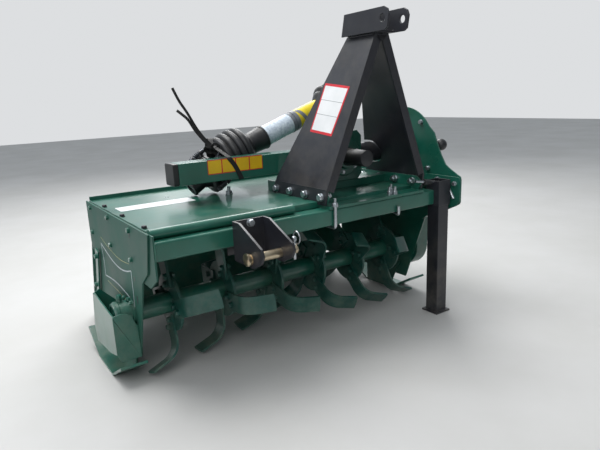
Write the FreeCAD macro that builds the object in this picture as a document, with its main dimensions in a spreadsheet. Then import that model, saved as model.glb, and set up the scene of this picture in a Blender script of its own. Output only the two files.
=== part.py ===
import FreeCAD, Part
import math
import os

import Sketcher
from FreeCAD import Placement, Rotation, Vector

# Rotavator with a three-point hitch frame, a gear side drive and a parking stand.
# The right plate and its gear case are at +X, the hitch is at -Y, and the floor is Z = 0.
# Places across (X) are counted from the outer face of the left end plate, places along (Y)
# from the front face of the beam, and all are moved by origin_across and origin_along.

SIZES = (
    # name, value in mm or degrees, what it is
    ("origin_across", 638, "middle of the whole outline, from the left end plate"),
    ("origin_along", 388, "middle of the whole outline, from the beam's front face"),
    ("work_width", 1270, "inner face of the right plate from the left plate's outer face"),
    ("plate_thick", 6, "end plates"),
    ("sheet_thick", 4, "hood sheet and tailboard"),
    ("beam_side", 60, "front beam, square"),
    ("beam_wall", 5, "front beam's wall"),
    ("beam_corner", 7, "front beam's outer corner radius"),
    ("beam_low", 475, "underside of the beam over the floor"),
    ("deck_level", 557, "top of the hood over the floor"),
    ("deck_front", 62, "front edge of the hood's flat sheet"),
    ("deck_rear", 745, "rear edge of the hood"),
    ("deck_lip", 16, "depth of the hood's turned-up rear lip"),
    ("rib_size", 32, "rolled rib along the hood's front edge"),
    ("rib_length", 509, "length of the rolled rib"),
    ("skirt_low", 420, "lower edge of the hood's end flange"),
    ("plate_front", 22, "upper front corner of the left end plate"),
    ("plate_rear", 755, "rear edge of the left end plate"),
    ("plate_notch", 426, "height of the notch in the plate's front edge"),
    ("plate_low", 83, "lower edge of the end plates"),
    ("axle_along", 275, "rotor axis behind the beam's front face"),
    ("axle_height", 240, "rotor axis over the floor"),
    ("rotor_radius", 234, "rotor axis to the tine tips"),
    ("rotor_pipe", 38, "outer radius of the rotor pipe"),
    ("rotor_journal", 20, "radius of the rotor's end journals"),
    ("running_gap", 0.05, "radial running fit of journals, pins and hinge rod"),
    ("flange_radius", 106, "rotor flange"),
    ("flange_thick", 10, "rotor flange"),
    ("flange_first", 138, "first flange from the left plate"),
    ("flange_pitch", 203, "from flange to flange"),
    ("flange_step", 16.7, "turn from flange to flange, in degrees"),
    ("flange_start", -21.6, "first flange's front tine below the level, in degrees"),
    ("tine_thick", 8, "tine bar"),
    ("tine_width", 64, "tine bar across"),
    ("tine_reach", 108, "sideways reach of a bent tine"),
    ("tine_bend", 64, "inner radius of the tine's bend"),
    ("tine_lean", 20, "rise of the tine's bent end, in degrees"),
    ("tine_slant", 4, "slant of the tine's end"),
    ("shoe_reach", 80, "guard and shoe outside the left plate"),
    ("guard_front", 222, "front face of the bearing guard"),
    ("guard_rear", 470, "rear of the bearing guard"),
    ("guard_top", 258, "upper edge of the bearing guard"),
    ("guard_low", 90, "lower edge of the bearing guard"),
    ("guard_thick", 5, "bearing guard's sheet"),
    ("shoe_front", 200, "front tip of the shoe"),
    ("shoe_rear", 636, "rear tip of the shoe"),
    ("shoe_rise", 74, "lift of the shoe's turned-up ends"),
    ("shoe_run", 128, "length of the shoe's turned-up ends"),
    ("shoe_thick", 8, "shoe sheet"),
    ("housing_radius", 44, "rotor bearing housing"),
    ("housing_length", 66, "rotor bearing housing outside the plate"),
    ("drive_along", 258, "drive axis behind the beam's front face"),
    ("drive_height", 688, "drive axis over the floor"),
    ("case_round", 178, "upper round of the right plate"),
    ("case_upper", 118, "upper round of the gear case"),
    ("case_lower", 104, "lower round of the gear case and plate"),
    ("case_depth", 66, "gear case outside the right plate"),
    ("nose_front", -66, "front of the right plate's nose"),
    ("nose_top", 591, "top of the right plate's nose"),
    ("nose_low", 482, "lower front corner of the right plate's nose"),
    ("drive_flange", 87, "radius of the drive tube's end flange"),
    ("drive_tube", 42, "radius of the drive tube"),
    ("hitch_across", 885, "middle of the hitch frame from the left plate"),
    ("wall_span", 476, "between the outer faces of the mount's side walls"),
    ("wall_front", 22, "front of the mount's side walls"),
    ("wall_rear", 412, "rear of the mount's side walls"),
    ("wall_drop", 5, "side walls below the masts' bend"),
    ("base_front", -4, "front edge of the mount's base plate"),
    ("base_thick", 10, "base plate"),
    ("bar_thick", 8, "hitch plates"),
    ("mast_low", 548, "lower end of the mast plates"),
    ("mast_bend", 604, "bend above the mast's upright foot"),
    ("mast_length", 578, "mast plates along their lean, before the cut under the ears"),
    ("mast_peak", 30, "outer face of a mast's top from the middle of the hitch"),
    ("mast_flange", 34, "width of the mast's front flange"),
    ("mast_nose", -16, "front edge of the mast's top"),
    ("mast_back", 133, "rear edge of the mast's top"),
    ("mast_split", 0.15, "from the middle of the hitch to each mast's flange"),
    ("ear_gap", 84, "between the top link ears"),
    ("ear_front", -102, "front of the top link ears"),
    ("ear_rear", 135, "rear of the top link ears"),
    ("ear_rise", 36, "top link ears over their bore"),
    ("ear_drop", 40, "top link ears under their bore"),
    ("link_bore", 12.75, "radius of the top link bore"),
    ("link_along", -72, "top link bore"),
    ("link_height", 1172, "top link bore over the floor"),
    ("arm_side", 80, "support arm, square"),
    ("arm_wall", 5, "support arm's wall"),
    ("arm_front", 342, "front face of the support arm"),
    ("arm_low", 632, "underside of the support arm"),
    ("arm_start", 211, "left end of the support arm's cap"),
    ("cap_length", 34, "end cap of the support arm"),
    ("gearbox_wide", 190, "gearbox across"),
    ("gearbox_front", 208, "front face of the gearbox"),
    ("gearbox_deep", 190, "gearbox along"),
    ("gearbox_high", 200, "gearbox"),
    ("stub_front", 64, "front end of the input shaft's cap"),
    ("stub_radius", 32, "input shaft's cap"),
    ("clevis_left", 263, "outer face of the lower hitch bracket"),
    ("clevis_width", 116, "lower hitch bracket across"),
    ("clevis_reach", 182, "lower hitch bracket in front of the beam"),
    ("clevis_top", 558, "top of the lower hitch bracket"),
    ("clevis_low", 430, "underside of the lower hitch bracket"),
    ("pin_radius", 14, "lower hitch pin"),
    ("pin_along", -104, "lower hitch pin in front of the beam"),
    ("pin_height", 458, "lower hitch pin over the floor"),
    ("pin_shank", 15, "lower hitch pin inside the bracket"),
    ("pin_grip", 46, "lower hitch pin past the bracket"),
    ("stand_side", 60, "parking stand, square"),
    ("stand_along", -24, "front face of the parking stand"),
    ("stand_gap", 16, "between the stand's guide and the right plate"),
    ("stand_wall", 5, "parking stand's wall"),
    ("stand_spare", 10, "parking stand past the top of its guide"),
    ("stand_travel", 260, "lift of the stand when it is stowed"),
    ("guide_wall", 4, "stand guide's wall"),
    ("guide_play", 0.3, "between the stand and its guide"),
    ("guide_low", 470, "underside of the stand guide"),
    ("guide_top", 546, "top of the stand guide"),
    ("foot_side", 84, "stand's foot"),
    ("foot_thick", 8, "stand's foot"),
    ("hinge_height", 536, "tailboard hinge over the floor"),
    ("hinge_along", 766, "tailboard hinge behind the beam's front face"),
    ("hinge_rod", 6, "radius of the hinge rod"),
    ("hinge_eye", 13, "outer radius of the hinge barrels"),
    ("tail_middle", 875, "tailboard's middle behind the beam's front face"),
    ("tail_half", 290, "height of the tailboard's middle"),
    ("tail_rear", 958, "tailboard's lower edge behind the beam's front face"),
    ("tail_low", 30, "tailboard's lower edge over the floor"),
    ("tail_gap", 8, "tailboard inside the end plates"),
    ("shaft_across", 511.6, "lower joint of the stowed shaft from the left plate"),
    ("shaft_behind", 92, "stowed shaft behind the support arm's rear face"),
    ("shaft_lift", 152.2, "lower joint of the stowed shaft over the hood"),
    ("shaft_rise", 20.1, "rise of the stowed shaft, in degrees"),
    ("clutch_drop", 47, "slope of the clutch below the lower joint, in degrees"),
    ("clutch_radius", 82, "friction plates of the clutch"),
    ("clutch_front", 58, "friction plates from the lower joint"),
    ("clutch_deep", 46, "pack of friction plates"),
    ("clutch_end", 178, "end of the clutch's hub from the lower joint"),
    ("hub_radius", 32, "clutch's hub"),
    ("yoke_radius", 26, "forks of the lower joint"),
    ("bell_start", 26, "near bell from the lower joint"),
    ("bell_mouth", 88, "mouth of the near bell"),
    ("bell_neck", 42, "neck of both bells"),
    ("collar_start", 122, "collar from the lower joint"),
    ("collar_radius", 40, "collar"),
    ("collar_lip", 43.5, "collar's lip"),
    ("sleeve_start", 196, "pale sleeve from the lower joint"),
    ("sleeve_radius", 39, "pale sleeve"),
    ("tube_start", 375, "yellow guard tube from the lower joint"),
    ("tube_radius", 36, "yellow guard tube"),
    ("far_start", 510, "far bell from the lower joint"),
    ("far_length", 130, "far bell"),
    ("far_mouth", 86, "mouth of the far bell"),
    ("strap_across", 39, "strap from the lower joint"),
    ("strap_round", 94, "strap's round over the bell"),
    ("strap_width", 14, "strap"),
    ("strap_thick", 2.5, "strap"),
)

VALUE = {name: value for name, value, note in SIZES}

doc = FreeCAD.newDocument("rotavator")
sheet = doc.addObject("Spreadsheet::Sheet", "Sizes")
for row, (name, value, note) in enumerate(SIZES, start=1):
    sheet.set(f"A{row}", note)
    sheet.set(f"B{row}", str(value))
    sheet.setAlias(f"B{row}", name)
doc.recompute()

PIECES = []


def named(text):
    """Put the sheet's name before each size in an expression."""
    words = text.replace("(", " ( ").replace(")", " ) ").split()
    return " ".join("Sizes." + word if word in VALUE else word for word in words)


def bind(item, **bound):
    """Tie an object's properties to expressions made of the sheet's sizes."""
    for key, text in bound.items():
        item.setExpression(key.replace("__", "."), named(text))


def place(item, across="0", along="0", height="0"):
    """Put an object at a place counted from the left plate, the beam's front and the floor."""
    item.setExpression("Placement.Base.x", named(f"{across} - origin_across"))
    item.setExpression("Placement.Base.y", named(f"{along} - origin_along"))
    item.setExpression("Placement.Base.z", named(height))


def keep(item, label):
    """Mark a finished piece for its own file."""
    item.Label = label
    PIECES.append(item)
    return item


def block(across, along, height, wide, deep, high):
    """A box with its lower left front corner at a place."""
    item = doc.addObject("Part::Box", "block")
    bind(item, Length=wide, Width=deep, Height=high)
    place(item, across, along, height)
    return item


TURNS = {
    "X": Rotation(Vector(0, 1, 0), 90),
    "Y": Rotation(Vector(1, 0, 0), -90),
    "Z": Rotation(),
}


def rod(axis, across, along, height, radius, length):
    """A cylinder that starts at a place and runs along an axis."""
    item = doc.addObject("Part::Cylinder", "rod")
    item.Placement = Placement(Vector(), TURNS[axis])
    bind(item, Radius=radius, Height=length)
    place(item, across, along, height)
    return item


def fuse(*items):
    joined = doc.addObject("Part::MultiFuse", "joined")
    joined.Shapes = list(items)
    joined.Refine = True
    return joined


def cut(base, *tools):
    """Take tools away from a base."""
    for tool in tools:
        item = doc.addObject("Part::Cut", "cut")
        item.Base = base
        item.Tool = tool
        item.Refine = True
        base = item
    return base


def plane_of(body, role):
    return next(item for item in body.Origin.OriginFeatures if item.Role == role)


def outline(body, role, corners, name="outline"):
    """A closed sketch through corners, each a pair of expressions from the plane's origin."""
    sketch = body.newObject("Sketcher::SketchObject", name)
    sketch.AttachmentSupport = [(plane_of(body, role), "")]
    sketch.MapMode = "FlatFace"
    count = len(corners)
    seeds = [Vector(100 * math.cos(6.28 * k / count), 100 * math.sin(6.28 * k / count), 0)
             for k in range(count)]
    for k in range(count):
        sketch.addGeometry(Part.LineSegment(seeds[k], seeds[(k + 1) % count]), False)
    for k in range(count):
        sketch.addConstraint(Sketcher.Constraint("Coincident", k, 2, (k + 1) % count, 1))
    for k, (first, second) in enumerate(corners):
        for kind, text in (("DistanceX", first), ("DistanceY", second)):
            index = sketch.addConstraint(Sketcher.Constraint(kind, -1, 1, k, 1, 10.0))
            sketch.setExpression(f"Constraints[{index}]", named(text))
    return sketch


def panel(corners, depth, role="YZ_Plane", across="0", along="0", height="0"):
    """A plate: a closed outline padded by its thickness."""
    body = doc.addObject("PartDesign::Body", "panel")
    sketch = outline(body, role, corners)
    pad = body.newObject("PartDesign::Pad", "pad")
    pad.Profile = sketch
    bind(pad, Length=depth)
    body.Tip = pad
    place(body, across, along, height)
    return body


def tube_square(across, along, height, length, side, wall):
    """A square tube along X."""
    outer = block(across, along, height, length, side, side)
    inner = block(f"( {across} ) - 1", f"( {along} ) + {wall}", f"( {height} ) + {wall}",
                  f"( {length} ) + 2", f"{side} - 2 * {wall}", f"{side} - 2 * {wall}")
    return outer, inner


def front_beam():
    start = "2 * plate_thick"
    length = "work_width - 2 * plate_thick - stand_gap - stand_side - 2 * guide_wall - 2 * guide_play"
    outer, inner = tube_square(start, "0", "beam_low", length, "beam_side", "beam_wall")
    rounded = doc.addObject("Part::Fillet", "rounded")
    rounded.Base = outer
    doc.recompute()
    edges = []
    for index, edge in enumerate(outer.Shape.Edges, start=1):
        ends = [vertex.Point for vertex in edge.Vertexes]
        if abs(ends[0].x - ends[1].x) > 10:
            edges.append((index, VALUE["beam_corner"], VALUE["beam_corner"]))
    rounded.Edges = edges
    keep(cut(rounded, inner), "front_beam")


def hood():
    sheet_low = "deck_level - sheet_thick"
    width = "work_width - 4 * plate_thick"
    start = "2 * plate_thick"
    top = block(start, "deck_front", sheet_low, width, "deck_rear - deck_front", "sheet_thick")
    front = block(start, "deck_front", "beam_low + beam_side", width, "sheet_thick",
                  "deck_level - beam_low - beam_side")
    lip = block(start, "deck_rear - sheet_thick", "hinge_height - hinge_eye - 6", width,
                "sheet_thick", "deck_level + deck_lip - hinge_height + hinge_eye + 6")
    notches = [block("work_width - stand_side - 20", "deck_front - 2", "beam_low", "stand_side + 20",
                     "6", "200")]
    for across in ("hitch_across - wall_span / 2 + bar_thick + 12",
                   "hitch_across + wall_span / 2 - bar_thick - 110"):
        notches.append(block(f"{across} - 9", "deck_front - 1", "beam_low", "18", "16", "200"))
    notches.append(block("clevis_left + 6", "deck_front - 1", "beam_low", "clevis_width - 12",
                         "bar_thick + 1", "200"))
    keep(cut(fuse(top, front, lip), *notches), "hood_deck")
    rib = rod("X", start, "deck_front - rib_size / 2 - 2.3",
              "beam_low + beam_side + rib_size / 2", "rib_size / 2", "rib_length")
    keep(rib, "hood_rib")
    for label, across, front in (("hood_end_left", "plate_thick", "0"),
                                 ("hood_end_right", "work_width - 2 * plate_thick", "69")):
        keep(panel([(front, "skirt_low"), (front, "deck_level - 2"), ("deck_rear", "deck_level - 2"),
                    ("deck_rear", "skirt_low"), ("deck_rear - 60", "skirt_low - 40"),
                    (f"{front} + 60", "skirt_low - 40")],
                   "plate_thick", across=across), label)


def left_plate():
    body = panel([("plate_front + 40", "plate_notch"), ("plate_front", "deck_level"),
                  ("plate_rear", "deck_level"), ("plate_rear", "392"),
                  ("plate_rear - 43", "335"), ("plate_rear - 43", "130"),
                  ("plate_rear - 80", "plate_low"), ("238", "plate_low"),
                  ("125", "plate_notch - 46")],
                 "plate_thick")
    bore = rod("X", "- 1", "axle_along", "axle_height", "rotor_journal + 6", "plate_thick + 2")
    keep(cut(body, bore), "end_plate_left")


def right_plate():
    across = "work_width"
    web = panel([("nose_front", "nose_low"), ("nose_front", "nose_top - 18"),
                 ("nose_front + 4", "nose_top - 6"), ("nose_front + 16", "nose_top"),
                 ("drive_along - 266", "nose_top + 23"), ("drive_along - 243", "nose_top + 38"),
                 ("drive_along - 219", "nose_top + 76"), ("drive_along - 196", "drive_height + 27"),
                 ("drive_along - 179", "drive_height + 70"),
                 ("drive_along - 148", "drive_height + 98"),
                 ("drive_along + 177", "drive_height + 10"),
                 ("plate_rear", "deck_level"), ("plate_rear", "392"),
                 ("plate_rear - 43", "335"), ("plate_rear - 43", "130"),
                 ("plate_rear - 80", "plate_low"), ("238", "plate_low"),
                 ("125", "plate_notch - 46"), ("plate_front + 40", "nose_low - 42"),
                 ("nose_front + 66", "nose_low - 42"), ("nose_front + 20", "nose_low - 20"),
                 ("nose_front + 4", "nose_low - 10")],
                "plate_thick", across=across)
    top = rod("X", across, "drive_along", "drive_height", "case_round", "plate_thick")
    bore = rod("X", "work_width - 1", "axle_along", "axle_height", "rotor_journal + 6",
               "plate_thick + 2")
    shaft = rod("X", "work_width - 1", "drive_along", "drive_height", "drive_tube - 10",
                "plate_thick + 2")
    keep(cut(fuse(web, top), bore, shaft), "end_plate_right")


def side_case():
    across = "work_width + plate_thick"
    upper = rod("X", across, "drive_along", "drive_height", "case_upper", "case_depth")
    lower = rod("X", across, "axle_along", "axle_height", "case_lower", "case_depth")
    waist = panel([("drive_along - case_upper * 0.98", "drive_height - 20"),
                   ("drive_along + case_upper * 0.98", "drive_height + 20"),
                   ("axle_along + case_lower * 0.98", "axle_height + 18"),
                   ("axle_along - case_lower * 0.98", "axle_height - 18")],
                  "case_depth", across=across)
    bore = rod("X", f"{across} - 1", "axle_along", "axle_height",
               "rotor_journal + running_gap", "case_depth / 2 + 1")
    boss = rod("X", f"{across} + case_depth - 1", "axle_along", "axle_height", "46", "9")
    keep(cut(fuse(upper, lower, waist, boss), bore), "side_case")


def drive():
    start = "hitch_across + gearbox_wide / 2"
    tube = rod("X", start, "drive_along", "drive_height", "drive_tube",
               "work_width - hitch_across - gearbox_wide / 2 - 12")
    flange = rod("X", "work_width - 12", "drive_along", "drive_height", "drive_flange", "12")
    keep(fuse(tube, flange), "drive_tube")
    box = block("hitch_across - gearbox_wide / 2", "gearbox_front",
                "drive_height - gearbox_high / 2", "gearbox_wide", "gearbox_deep", "gearbox_high")
    chamfer = doc.addObject("Part::Chamfer", "chamfer")
    chamfer.Base = box
    doc.recompute()
    chamfer.Edges = [(index, 22, 22) for index, edge in enumerate(box.Shape.Edges, start=1)
                     if abs(edge.Vertexes[0].Point.y - edge.Vertexes[1].Point.y) > 10]
    neck = rod("Y", "hitch_across", "stub_front + 138", "drive_height", "stub_radius + 8",
               "gearbox_front - stub_front - 137")
    keep(fuse(chamfer, neck), "gearbox")
    keep(rod("Y", "hitch_across", "stub_front", "drive_height", "stub_radius", "138"),
         "input_shaft_cap")


def mount():
    level = "beam_low + beam_side"
    left = "hitch_across - wall_span / 2"
    base = block(left, "base_front", level, "wall_span", "deck_front - base_front - 1", "base_thick")
    walls = []
    for across in (left, "hitch_across + wall_span / 2 - bar_thick"):
        walls.append(panel([("wall_front", f"{level} + base_thick - 1"),
                            ("wall_front - 18", f"{level} + base_thick + 30"),
                            ("wall_front", "mast_bend - wall_drop - 8"),
                            ("wall_front + 14", "mast_bend - wall_drop"),
                            ("wall_rear", "mast_bend - wall_drop"),
                            ("wall_rear", "deck_level + 0.3"),
                            ("deck_front", "deck_level + 0.3"),
                            ("deck_front - 2", f"{level} + base_thick - 1")],
                           "bar_thick", across=across))
    back = block(f"{left} + bar_thick", "gearbox_front + 10", "deck_level + 0.3",
                 "wall_span - 2 * bar_thick", "120",
                 "drive_height - gearbox_high / 2 - deck_level - 0.3")
    bores = [rod("Z", across, "- 7", "beam_low", "6.5", "200")
             for across in (f"{left} + bar_thick + 12",
                            "hitch_across + wall_span / 2 - bar_thick - 110")]
    keep(cut(fuse(base, *walls, back), *bores), "mount_bracket")
    hooks = []
    for across in (f"{left} + bar_thick + 12", "hitch_across + wall_span / 2 - bar_thick - 110"):
        legs = [rod("Z", across, along, "beam_low - 12", "6", "beam_side + 12 + base_thick + 14")
                for along in ("- 7", "beam_side + 7")]
        bar = rod("Y", across, "- 7", "beam_low - 7", "6", "beam_side + 14")
        hooks.append(fuse(bar, *legs))
    keep(fuse(*hooks), "beam_clamps")


def mast():
    length = "mast_length"
    lean = math.degrees(math.atan2(
        VALUE["wall_span"] / 2 + VALUE["bar_thick"] - VALUE["mast_peak"],
        VALUE["link_height"] - VALUE["ear_drop"] - VALUE["mast_bend"]))
    for label, side in (("mast_left", -1), ("mast_right", 1)):
        outer = f"hitch_across + {side} * wall_span / 2"
        web_start = f"{outer} - bar_thick" if side < 0 else outer
        foot = panel([("14", "mast_low"), ("2", "mast_bend + 2"), ("339", "mast_bend + 2"),
                      ("368", "deck_level + 0.3"), ("deck_front - 2", "deck_level + 0.3"),
                      ("deck_front - 2", "mast_low")], "bar_thick", across=web_start)
        web = panel([("2", "0"), ("mast_nose", length), ("mast_back", length), ("328", "42"),
                     ("336", "26"), ("339", "0")], "bar_thick")
        flange = panel([("2", "0"), ("mast_nose", length), ("mast_nose + bar_thick", length),
                        ("2 + bar_thick", "0")], "mast_flange")
        for item, shift in ((web, "0"), (flange, "0" if side < 0 else "bar_thick - mast_flange")):
            item.Placement = Placement(Vector(), Rotation(Vector(0, 1, 0), -side * lean))
            place(item, f"{web_start} + {shift}", "0", "mast_bend")
        above = block("hitch_across - wall_span / 2", "- 200", "link_height - ear_drop",
                      "wall_span", "600", "200")
        beyond = block("hitch_across - mast_split" if side < 0
                       else "hitch_across + mast_split - wall_span", "- 200",
                       "mast_bend + 100", "wall_span", "600", "600")
        trimmed = cut(fuse(foot, web, flange), above, beyond)
        if side > 0:
            passage = rod("X", "hitch_across", "drive_along", "drive_height", "drive_tube + 6",
                          "400")
            slot = block("hitch_across", "drive_along", "drive_height - drive_tube - 6", "400",
                         "200", "2 * drive_tube + 12")
            trimmed = cut(trimmed, passage, slot)
        keep(trimmed, label)


def link_ears():
    top = "link_height + ear_rise"
    low = "link_height - ear_drop"
    ears = []
    for across in ("hitch_across - ear_gap / 2 - bar_thick", "hitch_across + ear_gap / 2"):
        body = panel([("ear_front + 8", f"{low} + 8"), ("ear_front", f"{top} - 26"),
                      ("ear_front + 7", f"{top} - 9"), ("ear_front + 24", top),
                      ("ear_rear - 7", top), ("ear_rear + 11", low), ("ear_front + 22", low)],
                     "bar_thick", across=across)
        bore = rod("X", f"{across} - 1", "link_along", "link_height", "link_bore", "bar_thick + 2")
        ears.append(cut(body, bore))
    head = block("hitch_across - ear_gap / 2 - 1", "ear_front + 70", low, "ear_gap + 2",
                 "ear_rear - ear_front - 70 - bar_thick", "bar_thick")
    web = block("hitch_across - ear_gap / 2 - 1", "ear_rear - 2 * bar_thick", low,
                "ear_gap + 2", "bar_thick", "ear_rise + ear_drop - 4")
    keep(fuse(head, web, *ears), "top_clevis")


def support_arm():
    start = "arm_start + cap_length"
    length = "hitch_across - gearbox_wide / 2 - arm_start - cap_length"
    outer, inner = tube_square(start, "arm_front", "arm_low", length, "arm_side", "arm_wall")
    keep(cut(outer, inner), "support_arm")
    keep(block("arm_start", "arm_front", "arm_low", "cap_length", "arm_side", "arm_side"),
         "arm_end_cap")


def lower_hitch():
    left = "clevis_left"
    right = "clevis_left + clevis_width - bar_thick"
    side = [("- bar_thick", "clevis_low"), ("- bar_thick", "clevis_top"), ("- 44", "clevis_top"),
            ("- clevis_reach + 10", "pin_height + 44"), ("- clevis_reach", "pin_height + 22"),
            ("- clevis_reach + 16", "clevis_low + 24"), ("- clevis_reach + 66", "clevis_low")]
    plates = [panel(side, "bar_thick", across=across) for across in (left, right)]
    web = block(left, "- bar_thick", "clevis_low", "clevis_width", "bar_thick",
                "clevis_top - clevis_low")
    bore = rod("X", f"{left} - 1", "pin_along", "pin_height", "pin_shank + 0.3",
               "clevis_width + 2")
    keep(cut(fuse(web, *plates), bore), "hitch_bracket")
    clamp = block(f"{left} + 8", "beam_side", "clevis_low", "clevis_width - 16", "bar_thick",
                  "clevis_top - clevis_low")
    keep(clamp, "hitch_clamp")
    shank = rod("X", f"{left} - 8", "pin_along", "pin_height", "pin_shank",
                "clevis_width + 10")
    grip = rod("X", f"{left} + clevis_width + 1", "pin_along", "pin_height", "pin_radius",
               "pin_grip - 1")
    head = rod("X", f"{left} - 16", "pin_along", "pin_height", "pin_radius + 6", "8")
    ring = rod("X", f"{left} - 0.3 - 8", "pin_along", "pin_height", "pin_radius + 4", "8")
    keep(fuse(shank, grip, head, ring), "hitch_pin")


def stand():
    inner_across = "work_width - stand_gap - guide_wall - guide_play - stand_side"
    guide_across = "work_width - stand_gap - 2 * guide_wall - 2 * guide_play - stand_side"
    outer_side = "stand_side + 2 * guide_wall + 2 * guide_play"
    inner_side = "stand_side + 2 * guide_play"
    guide = block(guide_across, "stand_along - guide_wall - guide_play", "guide_low", outer_side, outer_side,
                  "guide_top - guide_low")
    hole = block(f"{guide_across} + guide_wall", "stand_along - guide_play", "guide_low - 1", inner_side,
                 inner_side, "guide_top - guide_low + 2")
    keep(cut(guide, hole), "stand_guide")
    leg = block(inner_across, "stand_along", "foot_thick", "stand_side", "stand_side",
                "guide_top + stand_spare - foot_thick")
    bore = block(f"{inner_across} + stand_wall", "stand_along + stand_wall", "foot_thick",
                 "stand_side - 2 * stand_wall", "stand_side - 2 * stand_wall",
                 "guide_top + stand_spare")
    foot = block(f"{inner_across} + stand_side / 2 - foot_side / 2",
                 "stand_along + stand_side / 2 - foot_side / 2", "0", "foot_side", "foot_side",
                 "foot_thick")
    keep(fuse(cut(leg, bore), foot), "parking_stand")


def shoes():
    profile = [("shoe_front", "shoe_rise"), ("shoe_front + shoe_run", "0"),
               ("shoe_rear - shoe_run", "0"), ("shoe_rear", "shoe_rise"),
               ("shoe_rear - 4", "shoe_rise + shoe_thick"),
               ("shoe_rear - shoe_run - 4", "shoe_thick"),
               ("shoe_front + shoe_run + 4", "shoe_thick"),
               ("shoe_front + 6", "shoe_rise + shoe_thick")]
    upright = [("shoe_front + shoe_run + 10", "shoe_thick - 1"), ("shoe_front + 70", "150"),
               ("shoe_rear - shoe_run - 6", "150"), ("shoe_rear - shoe_run - 6", "shoe_thick - 1")]
    for label, start, web in (
            ("shoe_left", "- shoe_reach", "plate_thick + 0.3"),
            ("shoe_right", "work_width - plate_thick - 0.3", "work_width - plate_thick - 0.3")):
        runner = panel(profile, "shoe_reach + 2 * plate_thick + 0.3", across=start)
        keep(fuse(runner, panel(upright, "plate_thick", across=web)), label)
    face = [("- shoe_reach", "guard_low + 30"), ("- shoe_reach", "guard_top - 8"),
            ("- shoe_reach + 10", "guard_top"), ("- shoe_reach + 30", "guard_top + 2"),
            ("- shoe_reach + 60", "guard_top - 10"), ("- 0.3", "guard_top - 52"),
            ("- 0.3", "guard_low"), ("- shoe_reach + 12", "guard_low")]
    front = panel(face, "guard_thick", role="XZ_Plane", along="guard_front + guard_thick")
    outer = panel([("guard_front", "guard_low + 30"), ("guard_front", "guard_top - 6"),
                   ("guard_rear", "guard_top + 8"), ("guard_rear + 36", "guard_low + 38"),
                   ("guard_rear + 20", "guard_low - 16"), ("guard_front + 86", "guard_low + 3")],
                  "guard_thick", across="- shoe_reach")
    rear = panel([("- shoe_reach", "guard_low"), ("- shoe_reach", "guard_top + 6"),
                  ("- shoe_reach + 25", "guard_top + 22"), ("- 0.3", "guard_top - 30"),
                  ("- 0.3", "guard_low")], "guard_thick", role="XZ_Plane", along="guard_rear")
    keep(fuse(front, outer, rear), "bearing_guard")
    ring = rod("X", "- housing_length", "axle_along", "axle_height", "housing_radius",
               "housing_length - 0.3")
    bore = rod("X", "- housing_length + 8", "axle_along", "axle_height",
               "rotor_journal + running_gap", "housing_length")
    keep(cut(ring, bore), "bearing_housing")


def tine(side):
    """A bent tine that points up from the rotor's axis, with its end turned to one side."""
    thick = VALUE["tine_thick"]
    width = VALUE["tine_width"]
    bend = VALUE["tine_bend"]
    reach = VALUE["tine_reach"]
    lean = math.radians(VALUE["tine_lean"])
    root = VALUE["rotor_pipe"] + 6
    turn = math.pi / 2 - lean
    top = math.sqrt(VALUE["rotor_radius"] ** 2 - width ** 2)
    wide = bend + thick
    run = wide * (1 - math.cos(turn))
    start = top - (reach - run) * math.tan(lean) - wide * math.sin(turn)

    def arc_point(radius, angle):
        return Vector(wide - radius * math.cos(angle), 0, start + radius * math.sin(angle))

    outer_end = Vector(reach, 0, top)
    inner_end = outer_end + Vector(math.sin(lean), 0, -math.cos(lean)) * thick
    edges = [
        Part.LineSegment(Vector(0, 0, root), Vector(0, 0, start)),
        Part.Arc(Vector(0, 0, start), arc_point(wide, turn / 2), arc_point(wide, turn)),
        Part.LineSegment(arc_point(wide, turn), outer_end),
        Part.LineSegment(outer_end, inner_end),
        Part.LineSegment(inner_end, arc_point(bend, turn)),
        Part.Arc(arc_point(bend, turn), arc_point(bend, turn / 2), Vector(thick, 0, start)),
        Part.LineSegment(Vector(thick, 0, start), Vector(thick, 0, root)),
        Part.LineSegment(Vector(thick, 0, root), Vector(0, 0, root)),
    ]
    section = Part.Face(Part.Wire([edge.toShape() for edge in edges]))
    bar = section.extrude(Vector(0, -width, 0))
    slant = VALUE["tine_slant"]
    corners = [Vector(reach - slant, 1, top - 60), Vector(reach + slant, -width - 1, top - 60),
               Vector(reach + 20, -width - 1, top - 60), Vector(reach + 20, 1, top - 60)]
    wedge = Part.Face(Part.makePolygon(corners + corners[:1])).extrude(Vector(0, 0, 80))
    shape = bar.cut(wedge)
    if side < 0:
        shape = shape.mirror(Vector(thick / 2, 0, 0), Vector(1, 0, 0))
    return shape


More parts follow.
